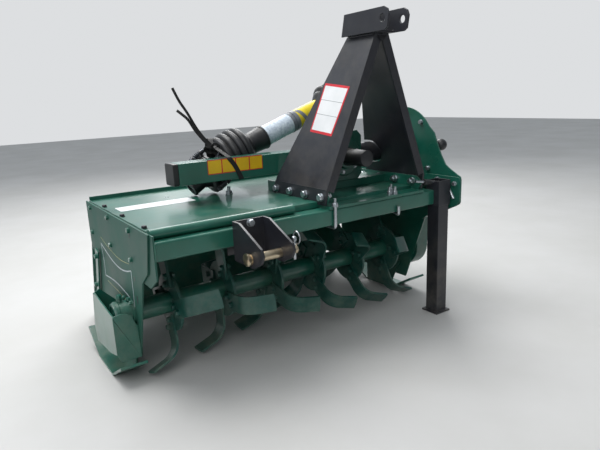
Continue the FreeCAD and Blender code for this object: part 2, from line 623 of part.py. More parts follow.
def rotor():
    start = "0.3 - housing_length + 8"
    pipe = rod("X", "3 * plate_thick", "axle_along", "axle_height", "rotor_pipe",
               "work_width - 6 * plate_thick")
    journal = rod("X", start, "axle_along", "axle_height", "rotor_journal",
                  "work_width + plate_thick + case_depth / 2 + housing_length - 8.6 - 0.3")
    keep(fuse(pipe, journal), "rotor_pipe")
    thick = VALUE["flange_thick"]
    tines = {1: tine(1), -1: tine(-1)}
    for index in range(6):
        disc = Part.makeCylinder(VALUE["flange_radius"], thick, Vector(-thick / 2, 0, 0),
                                 Vector(1, 0, 0))
        disc = disc.cut(Part.makeCylinder(VALUE["rotor_pipe"] + VALUE["running_gap"], thick + 2,
                                          Vector(-thick / 2 - 1, 0, 0), Vector(1, 0, 0)))
        pieces = []
        for turn in range(4):
            item = tines[-1 if turn % 2 else 1].copy()
            item.translate(Vector(0.5 - thick / 2 - VALUE["tine_thick"], 0, 0))
            item.rotate(Vector(), Vector(1, 0, 0),
                        90 + VALUE["flange_start"] + 90 * turn + VALUE["flange_step"] * index)
            pieces.append(item)
        feature = doc.addObject("Part::Feature", "flange")
        feature.Shape = disc.fuse(pieces).removeSplitter()
        across = VALUE["flange_first"] + VALUE["flange_pitch"] * index
        feature.Placement = Placement(Vector(across - VALUE["origin_across"],
                                             VALUE["axle_along"] - VALUE["origin_along"],
                                             VALUE["axle_height"]), Rotation())
        keep(feature, f"rotor_flange_{index + 1}")


def tailboard():
    width = "work_width - 4 * plate_thick - 2 * tail_gap"
    across = "2 * plate_thick + tail_gap"
    thick = VALUE["sheet_thick"]
    start = Vector(0, VALUE["hinge_along"] + VALUE["hinge_eye"] - thick,
                   VALUE["hinge_height"] - VALUE["hinge_eye"] - 6)
    middle = Vector(0, VALUE["tail_middle"], VALUE["tail_half"])
    end = Vector(0, VALUE["tail_rear"], VALUE["tail_low"])
    back = Vector(0, -thick, 0)
    face = Part.Face(Part.Wire([
        Part.Arc(start, middle, end).toShape(),
        Part.LineSegment(end, end + back).toShape(),
        Part.Arc(end + back, middle + back, start + back).toShape(),
        Part.LineSegment(start + back, start).toShape(),
    ]))
    curve = doc.addObject("Part::Feature", "curve")
    wide = VALUE["work_width"] - 4 * VALUE["plate_thick"] - 2 * VALUE["tail_gap"]
    curve.Shape = face.extrude(Vector(wide, 0, 0))
    curve.Placement = Placement(Vector(2 * VALUE["plate_thick"] + VALUE["tail_gap"]
                                       - VALUE["origin_across"], -VALUE["origin_along"], 0),
                                Rotation())
    moving = [curve]
    fixed = []
    bore = rod("X", across, "hinge_along", "hinge_height", "hinge_rod + running_gap", width)
    for index in range(5):
        eye_start = f"{across} + {index} * ( {width} ) / 5 + 60"
        length = f"( {width} ) / 5 - 120"
        eye = rod("X", eye_start, "hinge_along", "hinge_height", "hinge_eye", length)
        if index % 2:
            tab = block(eye_start, "hinge_along + hinge_eye - 2 * sheet_thick",
                        "hinge_height - hinge_eye - 10", length, "sheet_thick",
                        "hinge_eye + 10")
            moving.extend((eye, tab))
        else:
            leaf = block(eye_start, "deck_rear + 0.3", "hinge_height - hinge_eye", length,
                         "hinge_along - deck_rear - 0.3", "sheet_thick")
            fixed.append(fuse(eye, leaf))
    keep(cut(fuse(*moving), bore), "tailboard")
    pin = rod("X", across, "hinge_along", "hinge_height", "hinge_rod", width)
    keep(fuse(pin, *fixed), "tail_hinge")


def turned(label, start, end, first, second, downward=False):
    """A round piece of the stowed shaft, between two places on its axis from the lower joint."""
    item = doc.addObject("Part::Cylinder" if first == second else "Part::Cone", label)
    if first == second:
        bind(item, Radius=first)
    else:
        bind(item, Radius1=first, Radius2=second)
    bind(item, Height=f"( {end} ) - ( {start} )")
    side, slope = (-1, VALUE["clutch_drop"]) if downward else (1, VALUE["shaft_rise"])
    item.Placement = Placement(Vector(), Rotation(Vector(0, 1, 0), side * 90 - slope))
    run, lift = side * math.cos(math.radians(slope)), side * math.sin(math.radians(slope))
    place(item, f"shaft_across + ( {start} ) * ( {run:.6f} )",
          "arm_front + arm_side + shaft_behind",
          f"deck_level + shaft_lift + ( {start} ) * ( {lift:.6f} )")
    return item


def stowed_shaft():
    """The drive shaft in its guards, laid slanting behind the support arm."""
    plates = turned("plates", "clutch_front", "clutch_front + clutch_deep", "clutch_radius",
                    "clutch_radius", True)
    hub = turned("hub", "clutch_front + clutch_deep - 1", "clutch_end", "hub_radius", "hub_radius",
                 True)
    keep(fuse(plates, hub), "shaft_clutch")
    yoke = turned("yoke", "0", "clutch_front", "yoke_radius", "yoke_radius", True)
    fork = turned("fork", "0", "bell_start", "yoke_radius - 2", "yoke_radius - 2")
    keep(fuse(yoke, fork), "shaft_joint")
    for label, start, end, first, second in (
            ("shaft_bell", "bell_start", "collar_start", "bell_mouth", "bell_neck"),
            ("shaft_collar", "collar_start", "sleeve_start", "collar_radius", "collar_lip"),
            ("shaft_guard_outer", "sleeve_start", "tube_start", "sleeve_radius", "sleeve_radius"),
            ("shaft_guard_inner", "tube_start", "far_start", "tube_radius", "tube_radius"),
            ("shaft_bell_far", "far_start", "far_start + far_length", "bell_neck + 2", "far_mouth")):
        keep(turned(label, start, end, first, second), label)


def shaft_ties():
    """A strap round the arm and the stowed shaft."""
    rise = math.tan(math.radians(VALUE["shaft_rise"]))
    arm_rear = VALUE["arm_front"] + VALUE["arm_side"]
    across = VALUE["shaft_across"] + VALUE["strap_across"]
    middle = VALUE["strap_across"] + VALUE["strap_width"] / 2
    centre = (arm_rear + VALUE["shaft_behind"],
              VALUE["deck_level"] + VALUE["shaft_lift"] + middle * rise)
    radius = VALUE["strap_round"]
    low = (VALUE["arm_front"] - 0.3, VALUE["arm_low"] - 0.3)
    top = (VALUE["arm_front"] - 0.3, VALUE["arm_low"] + VALUE["arm_side"] + 0.3)

    def touch(corner, side):
        run, lift = centre[0] - corner[0], centre[1] - corner[1]
        reach = math.hypot(run, lift)
        angle = math.atan2(-lift, -run) - side * math.acos(radius / reach)
        return (centre[0] + radius * math.cos(angle), centre[1] + radius * math.sin(angle))

    behind = (arm_rear + 0.3, VALUE["arm_low"] - 0.3)
    upper = touch(top, 1)
    lower = touch(behind, -1)
    points = [Vector(0, y, z) for y, z in (low, top, upper, (centre[0] + radius, centre[1]),
                                           lower, behind)]
    wire = Part.Wire([
        Part.LineSegment(points[0], points[1]).toShape(),
        Part.LineSegment(points[1], points[2]).toShape(),
        Part.Arc(points[2], points[3], points[4]).toShape(),
        Part.LineSegment(points[4], points[5]).toShape(),
        Part.LineSegment(points[5], points[0]).toShape(),
    ])
    inner = Part.Face(wire)
    outer = inner.makeOffset2D(VALUE["strap_thick"])
    band = doc.addObject("Part::Feature", "band")
    band.Shape = outer.cut(inner).extrude(Vector(VALUE["strap_width"], 0, 0))
    band.Placement = Placement(Vector(across - VALUE["origin_across"], -VALUE["origin_along"], 0),
                               Rotation())
    keep(band, "shaft_strap")


front_beam()
hood()
left_plate()
right_plate()
side_case()
drive()
mount()
mast()
link_ears()
support_arm()
lower_hitch()
stand()
shoes()
rotor()
tailboard()
stowed_shaft()
shaft_ties()
doc.recompute()

for item in doc.Objects:
    if "Invalid" in item.State or "Error" in item.State:
        raise RuntimeError(f"{item.Label} failed: {item.State}")
for item in PIECES:
    if item.Shape.isNull() or not item.Shape.isValid():
        raise RuntimeError(f"{item.Label} has no valid shape")

os.makedirs("parts", exist_ok=True)
for item in PIECES:
    item.Shape.exportStep(f"parts/{item.Label}.step")
print(len(PIECES), "pieces written")
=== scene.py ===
import logging
import math
from dataclasses import dataclass, field
from enum import Enum
from typing import Iterable, Sequence

import bmesh
import bpy
import numpy as np
from mathutils import Matrix, Vector


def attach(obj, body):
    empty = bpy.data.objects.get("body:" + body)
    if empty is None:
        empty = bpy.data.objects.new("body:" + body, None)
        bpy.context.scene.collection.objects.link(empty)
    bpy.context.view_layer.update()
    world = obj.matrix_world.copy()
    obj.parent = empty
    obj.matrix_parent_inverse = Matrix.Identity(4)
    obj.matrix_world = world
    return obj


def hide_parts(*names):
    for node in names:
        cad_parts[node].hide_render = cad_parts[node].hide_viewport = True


LOG = logging.getLogger("rotavator")

# Places are counted in millimetres: across from the left end plate, along from the front face of
# the beam, and up from the floor. ORIGIN is the frame's origin in those terms.
ORIGIN = np.array([638.0, 388.0, 0.0])
MM = 0.001
# The rotor's axis, along and up, and the thickness of a film stuck on the paint, in millimetres.
AXLE = (275.0, 240.0)
FILM = 0.5

Point = Sequence[float]
Rows = Sequence[Point]
Tree = bpy.types.NodeTree
Socket = bpy.types.NodeSocket


# ---------------------------------------------------------------- shells


@dataclass
class Shell:
    """A mesh before it is made: points in millimetres, and faces as rows of point numbers."""

    points: np.ndarray
    faces: list[Sequence[int]]

    def turned(self, matrix: np.ndarray) -> "Shell":
        """The same shell with its points turned by a 3 by 3 matrix."""
        return Shell(self.points @ np.asarray(matrix, float).T, self.faces)

    def moved(self, offset: Point) -> "Shell":
        """The same shell moved by an offset."""
        return Shell(self.points + np.asarray(offset, float), self.faces)


def join(shells: Iterable[Shell]) -> Shell:
    """One shell made of several.

    Args:
        shells: the shells to put together.

    Returns:
        A shell whose face numbers are shifted by the points that come before.
    """
    shells = list(shells)
    starts = np.cumsum([0] + [len(shell.points) for shell in shells[:-1]])
    faces: list[Sequence[int]] = []
    for shell, start in zip(shells, starts):
        faces.extend((np.asarray(face) + start).tolist() for face in shell.faces)
    return Shell(np.concatenate([shell.points for shell in shells]), faces)


def unit(vector: Point) -> np.ndarray:
    """A vector of length one."""
    vector = np.asarray(vector, float)
    return vector / np.linalg.norm(vector)


def unit_rows(vectors: np.ndarray) -> np.ndarray:
    """The same vectors, one to a row, each of length one."""
    return vectors / np.linalg.norm(vectors, axis=1)[:, None]


def across_axis(axis: Point) -> tuple[np.ndarray, np.ndarray, np.ndarray]:
    """Two directions square to an axis, and the axis.

    Args:
        axis: any direction.

    Returns:
        Three unit vectors at right angles, the last along the axis.
    """
    third = unit(axis)
    helper = np.array([0.0, 0.0, 1.0]) if abs(third[2]) < 0.9 else np.array([1.0, 0.0, 0.0])
    first = unit(np.cross(helper, third))
    return first, np.cross(third, first), third


def turns(count: int) -> np.ndarray:
    """Even angles round a full circle, the first of them zero."""
    return np.linspace(0.0, 2 * np.pi, count, endpoint=False)


def around(axis: Point, angles: Point) -> np.ndarray:
    """Unit vectors square to an axis, one for each angle round it."""
    first, second, _ = across_axis(axis)
    angles = np.asarray(angles)[:, None]
    return np.cos(angles) * first + np.sin(angles) * second


def skin(rings: np.ndarray, caps: bool = True) -> Shell:
    """Faces between closed rings of points.

    Args:
        rings: an array (rings, points in a ring, 3).
        caps: whether the first and last rings are closed by one face each.

    Returns:
        A shell with one quad between neighbours on the grid of the two indices.
    """
    rows, count = rings.shape[:2]
    index = np.arange(rows * count).reshape(rows, count)
    after = np.roll(index, -1, axis=1)
    quads = np.stack([index[:-1], after[:-1], after[1:], index[1:]], axis=-1).reshape(-1, 4)
    faces: list[Sequence[int]] = quads.tolist()
    if caps:
        faces.append(index[0][::-1].tolist())
        faces.append(index[-1].tolist())
    return Shell(rings.reshape(-1, 3), faces)


def lathe(profile: Rows, start: Point, axis: Point, sides: int = 32) -> Shell:
    """A profile turned round an axis.

    A point is start + along * axis + radius * (cos a * first + sin a * second).

    Args:
        profile: rows of distance along the axis and radius.
        start: the place where the distance is zero.
        axis: the direction of the axis.
        sides: points round the axis.

    Returns:
        A closed shell.
    """
    along, radius = np.asarray(profile, float).T
    rings = along[:, None, None] * unit(axis) + radius[:, None, None] * around(axis, turns(sides))
    return skin(rings + np.asarray(start, float))


def sweep(path: np.ndarray, section: np.ndarray, up: Point = (0.0, 0.0, 1.0),
          loop: bool = False) -> Shell:
    """A closed section carried along a path.

    Each ring is the path's point plus the section's two numbers along the side and lift vectors,
    where side is the tangent crossed with up, and lift is side crossed with the tangent.

    Args:
        path: rows of points.
        section: rows of two numbers, a closed outline, or one such outline for each point.
        up: the direction that stays nearest to lift.
        loop: whether the path's end joins its start.

    Returns:
        A closed shell.
    """
    path = np.asarray(path, float)
    ahead = np.roll(path, -1, axis=0) - np.roll(path, 1, axis=0) if loop else np.gradient(path, axis=0)
    tangent = unit_rows(ahead)
    side = unit_rows(np.cross(tangent, np.asarray(up, float)))
    lift = np.cross(side, tangent)
    section = np.broadcast_to(section, (len(path),) + np.shape(section)[-2:])
    rings = path[:, None] + section[:, :, :1] * side[:, None] + section[:, :, 1:] * lift[:, None]
    if loop:
        return skin(np.concatenate([rings, rings[:1]]), caps=False)
    return skin(rings)


def circle(radius: float, sides: int = 12) -> np.ndarray:
    """A round section, anticlockwise."""
    return radius * np.stack([np.cos(turns(sides)), np.sin(turns(sides))], axis=-1)


def smooth_path(corners: Rows, steps: int = 10, loop: bool = False) -> np.ndarray:
    """A smooth path through corners, as a Catmull-Rom spline.

    Args:
        corners: rows of points to pass through.
        steps: points on each stretch.
        loop: whether the path runs back to its first corner.

    Returns:
        An array of points. A loop's first point isn't repeated at its end.
    """
    points = np.asarray(corners, float)
    ends = ((points[-1:], points[:2]) if loop
            else (2 * points[:1] - points[1:2], 2 * points[-1:] - points[-2:-1]))
    padded = np.concatenate([ends[0], points, ends[1]])
    b, s, e, a = (padded[k:len(padded) - 3 + k, None] for k in range(4))
    t = np.linspace(0.0, 1.0, steps, endpoint=False)[None, :, None]
    curve = 0.5 * (2 * s + (e - b) * t + (2 * b - 5 * s + 4 * e - a) * t ** 2
                   + (3 * s - b - 3 * e + a) * t ** 3).reshape(-1, 3)
    return curve if loop else np.concatenate([curve, points[-1:]])


class Plane(Enum):
    """The axis that a flat plate is square to, as the columns of its outline and its axis."""

    ACROSS = (1, 2, 0)
    ALONG = (0, 2, 1)
    UP = (0, 1, 2)


def plate(outline: Rows, plane: Plane, start: float, thick: float) -> Shell:
    """A flat plate.

    Args:
        outline: its corners in the plane.
        plane: the axis that it is square to.
        start: its lower face on that axis.
        thick: its thickness.

    Returns:
        A closed prism.
    """
    outline = np.asarray(outline, float)
    first, second, axis = plane.value
    rings = np.zeros((2, len(outline), 3))
    rings[:, :, first] = outline[:, 0]
    rings[:, :, second] = outline[:, 1]
    rings[:, :, axis] = np.array([start, start + thick])[:, None]
    return skin(rings)


def rounded(outline: Rows, radius: float, steps: int = 5) -> np.ndarray:
    """An outline with its corners rounded.

    Each corner becomes an arc between the points one trim away from it, drawn as a quadratic
    curve whose middle control is the corner. A trim is at most 0.45 of its side.

    Args:
        outline: the corners.
        radius: the trim at each corner.
        steps: points on each arc.

    Returns:
        A longer outline.
    """
    points = np.asarray(outline, float)
    ends = []
    for shift in (1, -1):
        toward = np.roll(points, shift, axis=0) - points
        length = np.linalg.norm(toward, axis=1)[:, None]
        ends.append((points + toward / length * np.minimum(radius, 0.45 * length))[:, None])
    t = np.linspace(0.0, 1.0, steps)[None, :, None]
    arcs = (1 - t) ** 2 * ends[0] + 2 * t * (1 - t) * points[:, None] + t ** 2 * ends[1]
    return arcs.reshape(-1, 2)


def rect(low: Point, high: Point) -> list[tuple[float, float]]:
    """The four corners of a rectangle, anticlockwise."""
    return [(low[0], low[1]), (high[0], low[1]), (high[0], high[1]), (low[0], high[1])]


def block(low: Point, high: Point) -> Shell:
    """A rectangular block between two corners, to be bevelled later."""
    return plate(rect(low, high), Plane.UP, low[2], high[2] - low[2])


@dataclass(frozen=True)
class Bolt:
    """A hexagon head or nut with its washer and, for a nut, the end of its thread.

    chamfer, crown and thread_wide are shares of the distance across the flats.
    """

    flats: float = 17.0
    head: float = 8.0
    washer: float = 2.0
    washer_wide: float = 1.25
    thread: float = 0.0
    chamfer: float = 0.14
    crown: float = 0.46
    thread_wide: float = 0.28

    def shell(self, place: Point, axis: Point, turn: float = 0.4) -> Shell:
        """The fastener on a surface.

        The radius of a hexagon at angle a is half its flats over the cosine of the angle to the
        nearest flat, and the chamfer narrows it to a circle at the top.

        Args:
            place: the middle of its seat.
            axis: the direction out of the surface.
            turn: the turn of the hexagon, in radians.

        Returns:
            A closed shell.
        """
        angle = turns(36)
        sixth = np.pi / 3
        hexagon = self.flats / 2 / np.cos((angle - turn + sixth / 2) % sixth - sixth / 2)
        disc = np.full(len(angle), self.flats)
        rim = disc / 2 * self.washer_wide
        top = self.washer + self.head
        rows = [(0.0, rim), (self.washer, rim), (self.washer, hexagon * 0.995),
                (top - self.chamfer * self.flats, hexagon), (top, disc * self.crown)]
        if self.thread:
            rows += [(top, disc * self.thread_wide), (top + self.thread, disc * self.thread_wide)]
        ring = around(axis, angle)
        rings = np.stack([along * unit(axis) + radius[:, None] * ring for along, radius in rows])
        return skin(rings + np.asarray(place, float))

    def ring(self, centre: Point, radius: float, angles: Point, axis: Point) -> list[Shell]:
        """The same fastener round a circle, each hexagon turned with its place.

        Args:
            centre: the middle of the circle.
            radius: the circle's radius.
            angles: the places round it, in radians from the first of the circle's two axes.
            axis: the direction out of the surface, along X or Y.

        Returns:
            A shell for each angle.
        """
        one, other = np.eye(3)[np.asarray(axis) == 0]
        return [self.shell(np.asarray(centre) + radius * (np.cos(a) * one + np.sin(a) * other), axis, a)
                for a in angles]


def weld(start: Point, end: Point, size: float = 3.0) -> Shell:
    """A weld bead between two places.

    The bead is a round section whose radius is size * (1 + 0.16 * |sin|) along the line, with one
    ripple for each 5 mm, as a wire-fed weld leaves.
    """
    start, end = np.asarray(start, float), np.asarray(end, float)
    length = np.linalg.norm(end - start)
    count = max(4, int(length / 2.5))
    t = np.linspace(0.0, 1.0, count)
    path = start + t[:, None] * (end - start)
    path = path + 0.25 * size * np.sin(t * length / 23.0)[:, None] * across_axis(end - start)[0]
    radius = size * (1 + 0.16 * np.abs(np.sin(t * length * np.pi / 5.0)))
    radius[[0, -1]] *= 0.4
    section = radius[:, None, None] * circle(1.0, 8)[None]
    return sweep(path, section, up=across_axis(end - start)[1])


# ---------------------------------------------------------------- finishes


def linear(colour: str) -> tuple[float, float, float, float]:
    """A colour written as sRGB hex, turned to linear light."""
    parts = np.array([int(colour[k:k + 2], 16) for k in (1, 3, 5)]) / 255
    parts = np.where(parts <= 0.04045, parts / 12.92, ((parts + 0.055) / 1.055) ** 2.4)
    return (float(parts[0]), float(parts[1]), float(parts[2]), 1.0)


def add_node(tree: Tree, kind: str, settings: dict | None = None,
             values: dict | None = None, links: dict | None = None) -> bpy.types.Node:
    """Add a node with its settings and links.

    Args:
        tree: the node tree.
        kind: the node's type name.
        settings: attributes to set on the node.
        values: constants for its sockets, by name or number.
        links: sockets of other nodes to join to its sockets, by name or number.

    Returns:
        The node.
    """
    node = tree.nodes.new(kind)
    for key, value in (settings or {}).items():
        setattr(node, key, value)
    for key, value in (values or {}).items():
        node.inputs[key].default_value = value
    for key, socket in (links or {}).items():
        tree.links.new(socket, node.inputs[key])
    return node


def noise(tree: Tree, where: Socket, scale: float, detail: float, rough: float) -> Socket:
    """The value of a noise pattern at a place."""
    values = {"Scale": scale, "Detail": detail, "Roughness": rough}
    return add_node(tree, "ShaderNodeTexNoise", None, values, {"Vector": where}).outputs["Fac"]


def remap(tree: Tree, value: Socket, start: float, end: float,
          low: float = 0.0, high: float = 1.0) -> Socket:
    """A value carried from the range start to end over to the range low to high, and held there."""
    values = {"From Min": start, "From Max": end, "To Min": low, "To Max": high}
    return add_node(tree, "ShaderNodeMapRange", None, values, {"Value": value}).outputs["Result"]


def calc(tree: Tree, operation: str, links: dict, values: dict | None = None,
         clamp: bool = False) -> Socket:
    """The result of one operation on sockets and numbers."""
    return add_node(tree, "ShaderNodeMath", {"operation": operation, "use_clamp": clamp}, values,
                    links).outputs["Value"]


def height_of(tree: Tree, vector: Socket) -> Socket:
    """The Z part of a vector."""
    return add_node(tree, "ShaderNodeSeparateXYZ", None, None, {0: vector}).outputs["Z"]


def mixed(tree: Tree, factor: Socket, first: object, second: object) -> Socket:
    """Two colours, each a constant or a socket, mixed by a factor."""
    parts = {6: first, 7: second}
    values = {key: part for key, part in parts.items() if isinstance(part, tuple)}
    links = {0: factor} | {key: part for key, part in parts.items() if key not in values}
    return add_node(tree, "ShaderNodeMix", {"data_type": "RGBA"}, values, links).outputs[2]


def fresh_tree(owner: bpy.types.ID) -> Tree:
    """The emptied node tree of a material or a world."""
    owner.use_nodes = True
    owner.node_tree.nodes.clear()
    return owner.node_tree


def show(item: bpy.types.Object) -> None:
    """Put an object into the scene."""
    bpy.context.scene.collection.objects.link(item)


@dataclass(frozen=True)
class Finish:
    """What a surface is made of and how it was finished.

    patch_mm and grain_mm are the real sizes of the slow colour change and of the fine texture.
    """

    name: str
    slot: str
    colour: str
    patch: str
    rough: float = 0.4
    metal: float = 0.0
    coat: float = 0.0
    patch_mm: float = 40.0
    patch_amount: float = 1.0
    grain_mm: float = 1.6
    grain_depth_mm: float = 0.03
    dust: float = 0.3
    dust_colour: str = "#8f8878"
    dust_mm: float = 1000 / 14

    def material(self) -> bpy.types.Material:
        """The finish as a material, made once.

        Returns:
            The material, whose patterns read Object coordinates.
        """
        made = bpy.data.materials.get(self.name)
        if made:
            return made
        made = bpy.data.materials.new(self.name)
        tree = fresh_tree(made)
        where = add_node(tree, "ShaderNodeTexCoord").outputs["Object"]
        slow = noise(tree, where, 1000 / self.patch_mm, 5.0, 0.6)
        spread = remap(tree, slow, 0.36, 0.66, high=self.patch_amount)
        base = mixed(tree, spread, linear(self.colour), linear(self.patch))
        dirt = self._dust(tree, where)
        base = mixed(tree, dirt, base, linear(self.dust_colour))
        sheen = remap(tree, slow, 0.3, 0.75, self.rough * 0.86, self.rough * 1.22)
        rough = calc(tree, "MULTIPLY_ADD", {0: dirt, 2: sheen}, {1: 0.45})
        grain = noise(tree, where, 1000 / self.grain_mm, 2.0, 0.5)
        bump = add_node(tree, "ShaderNodeBump", None,
                        {"Strength": 1.0, "Distance": self.grain_depth_mm * MM},
                        {"Height": grain}).outputs["Normal"]
        shader = add_node(tree, "ShaderNodeBsdfPrincipled", None,
                          {"Metallic": self.metal, "Coat Weight": self.coat,
                           "Coat Roughness": 0.06},
                          {"Base Color": base, "Roughness": rough, "Normal": bump})
        add_node(tree, "ShaderNodeOutputMaterial", None, None,
                 {"Surface": shader.outputs["BSDF"]})
        return made

    def _dust(self, tree: Tree, where: Socket) -> Socket:
        """Fine dust that settles on level faces and rises a little way up from the ground."""
        fine = remap(tree, noise(tree, where, 1000 / self.dust_mm, 9.0, 0.72), 0.42, 0.74)
        normal = add_node(tree, "ShaderNodeNewGeometry").outputs["Normal"]
        level = remap(tree, height_of(tree, normal), 0.1, 1.0, 0.12, 0.6)
        low = remap(tree, height_of(tree, where), 0.0, 0.4, 0.8, 0.0)
        both = calc(tree, "MULTIPLY", {0: calc(tree, "ADD", {0: level, 1: low}), 1: fine})
        return calc(tree, "MULTIPLY", {0: both}, {1: self.dust}, clamp=True)


# Gloss enamel sprayed on steel: deep colour under a clear skin, with faint orange peel.
GREEN = Finish("gloss_enamel_green", "green_paint", "#125041", "#176050", rough=0.3, coat=0.45,
               patch_mm=260, grain_mm=3.2, grain_depth_mm=0.02)
# The same enamel, satin and darker: the darker colour is painted shade, for the left end plate and its
# hood end that stand out of the light.
SHADED_SATIN_GREEN = Finish("shaded_satin_enamel_green", "green_paint", "#10463a", "#155446", rough=0.52,
                    patch_mm=210, grain_mm=2.6, dust=0.25)
# The same enamel on castings, over a sand-cast skin.
CAST_GREEN = Finish("enamel_on_casting_green", "green_paint", "#104a3e", "#155a4b", rough=0.36,
                    coat=0.35, patch_mm=120, grain_mm=2.4, grain_depth_mm=0.16, dust=0.35)
# Tines and flanges, dipped and thinly coated, with dust that clings; their colour is darker than the
# hood's, painted shade for the rotor under the hood.
SHADED_TINE_GREEN = Finish("shaded_enamel_on_forging_green", "green_paint", "#0f443b", "#14534a", coat=0.15,
                    patch_mm=70, grain_mm=1.8, grain_depth_mm=0.05, dust=0.5)
# Satin powder coat on hitch steel: blue-black, with a soft sheen.
BLACK = Finish("satin_powder_coat_black", "black_paint", "#18191f", "#20222a", rough=0.42, coat=0.12,
               patch_mm=180, grain_mm=1.4, grain_depth_mm=0.025, dust=0.32)
# Bright zinc plate on fasteners.
ZINC = Finish("bright_zinc_plate", "zinc_steel", "#c3c8cc", "#a9afb4", rough=0.3, metal=1.0,
              patch_mm=9, grain_mm=0.8, grain_depth_mm=0.01, dust=0.12)
# Forged steel with its blue-black scale.
FORGED = Finish("forged_steel_scale", "zinc_steel", "#4c4f55", "#6a6e74", rough=0.36, metal=1.0,
                patch_mm=14, grain_depth_mm=0.06)
# Yellow chromated zinc, worn pale: straw colour with a slight rainbow.
STRAW = Finish("yellow_chromate_zinc", "yellow_zinc", "#c9bda4", "#b5a184", rough=0.3, metal=1.0,
               patch_mm=14, grain_mm=0.8, grain_depth_mm=0.01, dust=0.1)
# Moulded polyethylene: black, grey and yellow, slightly waxy.
PLASTIC = Finish("moulded_polyethylene_black", "black_plastic", "#17181a", "#202226", patch_mm=60)
GREY = Finish("moulded_polyethylene_grey", "grey_plastic", "#5c6066", "#6e7278", rough=0.45, dust=0.2)
YELLOW = Finish("moulded_polyethylene_yellow", "yellow_plastic", "#d8c21c", "#c9b21a", patch_mm=50,
                dust=0.25)
# Cast iron clutch in black chassis paint, over a sand-cast skin.
IRON = Finish("chassis_paint_on_iron_black", "cast_black", "#16171a", "#22242a", rough=0.38,
              coat=0.2, grain_mm=2.2, grain_depth_mm=0.12)
# Sleeve of soft vinyl: pale, mottled grey blue.
SLEEVE = Finish("vinyl_sleeve_pale", "grey_plastic", "#ccd6de", "#8796a8", patch_mm=11,
                patch_amount=0.7, grain_mm=4.0, grain_depth_mm=0.08, dust=0.12)
# Polyamide tie strap: black, with a dull woven face.
NYLON = Finish("polyamide_strap_black", "nylon", "#0f0f10", "#161617", rough=0.7, patch_mm=30,
               grain_mm=1.2, dust=0.15)
# Lines of vinyl film on the left plate, silver and straw.
SILVER_FILM = Finish("film_line_silver", "grey_plastic", "#a9b4b8", "#98a3a8", grain_mm=4.0,
                     grain_depth_mm=0.01, dust=0.2)
STRAW_FILM = Finish("film_line_straw", "yellow_plastic", "#8f9463", "#7f8658", rough=0.45,
                    grain_mm=4.0, grain_depth_mm=0.01, dust=0.2)
# Blank plates of vinyl film: plain colours under a clear skin.
WHITE_FILM = Finish("film_plate_white", "grey_plastic", "#dadbdc", "#d0d2d3", rough=0.32,
                    patch_mm=90, grain_mm=6.0, grain_depth_mm=0.01, dust=0.18)
RED_FILM = Finish("film_plate_red", "yellow_plastic", "#c8202c", "#b81c28", rough=0.35,
                  patch_mm=60, grain_mm=6.0, grain_depth_mm=0.01, dust=0.1)
YELLOW_FILM = Finish("film_plate_yellow", "yellow_plastic", "#dfb413", "#d3a810", rough=0.34,
                     patch_mm=60, grain_mm=6.0, grain_depth_mm=0.01, dust=0.2)
# Trowelled screed of the studio's floor: pale, with a fine grain.
SCREED = Finish("trowelled_screed_pale", "grey_plastic", "#c0bfbd", "#bab9b6", rough=0.75,
                patch_mm=700, grain_mm=5.0, grain_depth_mm=0.1, dust=0.0)


# ---------------------------------------------------------------- pieces


def set_edges(piece: bpy.types.Object, bevel_mm: float, smooth: float) -> None:
    """Shade a piece smooth up to an angle, and round its edges.

    Args:
        piece: the mesh object.
        bevel_mm: width of the rounding, or 0.
        smooth: the angle in degrees past which an edge stays sharp.
    """
    mesh = piece.data
    mesh.polygons.foreach_set("use_smooth", np.ones(len(mesh.polygons), bool))
    mesh.set_sharp_from_angle(angle=math.radians(smooth))
    if bevel_mm:
        bevel = piece.modifiers.new("edges", "BEVEL")
        bevel.width = bevel_mm * MM
        bevel.segments = 2
        bevel.limit_method = "ANGLE"
        bevel.angle_limit = math.radians(32)
        bevel.harden_normals = True
        bevel.use_clamp_overlap = True


def make_piece(name: str, shell: Shell, finish: Finish, body: str = "frame",
               replaces: Sequence[str] = (), bevel_mm: float = 0.0,
               smooth: float = 38.0) -> bpy.types.Object:
    """A new piece from a shell.

    Args:
        name: the piece's name.
        shell: its points and faces in millimetres.
        finish: its material.
        body: the body it moves with.
        replaces: the CAD nodes that it stands for.
        bevel_mm: width of its rounded edges.
        smooth: the angle past which an edge stays sharp.

    Returns:
        The object.
    """
    mesh = bpy.data.meshes.new(name)
    mesh.from_pydata(((shell.points - ORIGIN) * MM).tolist(), [], shell.faces)
    work = bmesh.new()
    work.from_mesh(mesh)
    bmesh.ops.remove_doubles(work, verts=work.verts, dist=1e-6)
    bmesh.ops.recalc_face_normals(work, faces=work.faces)
    work.to_mesh(mesh)
    work.free()
    return finish_piece(bpy.data.objects.new(name, mesh), finish, body, replaces, bevel_mm, smooth)


def finish_piece(piece: bpy.types.Object, finish: Finish, body: str, replaces: Sequence[str],
                 bevel_mm: float, smooth: float) -> bpy.types.Object:
    """Link a piece, give it its material and edges, put it on its body, and hide the CAD nodes that it
    replaces.
    """
    show(piece)
    piece.data.materials.clear()
    piece.data.materials.append(finish.material())
    set_edges(piece, bevel_mm, smooth)
    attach(piece, body)
    if replaces:
        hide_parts(*replaces)
    LOG.info("%s: %d faces, %s", piece.name, len(piece.data.polygons), finish.name)
    return piece


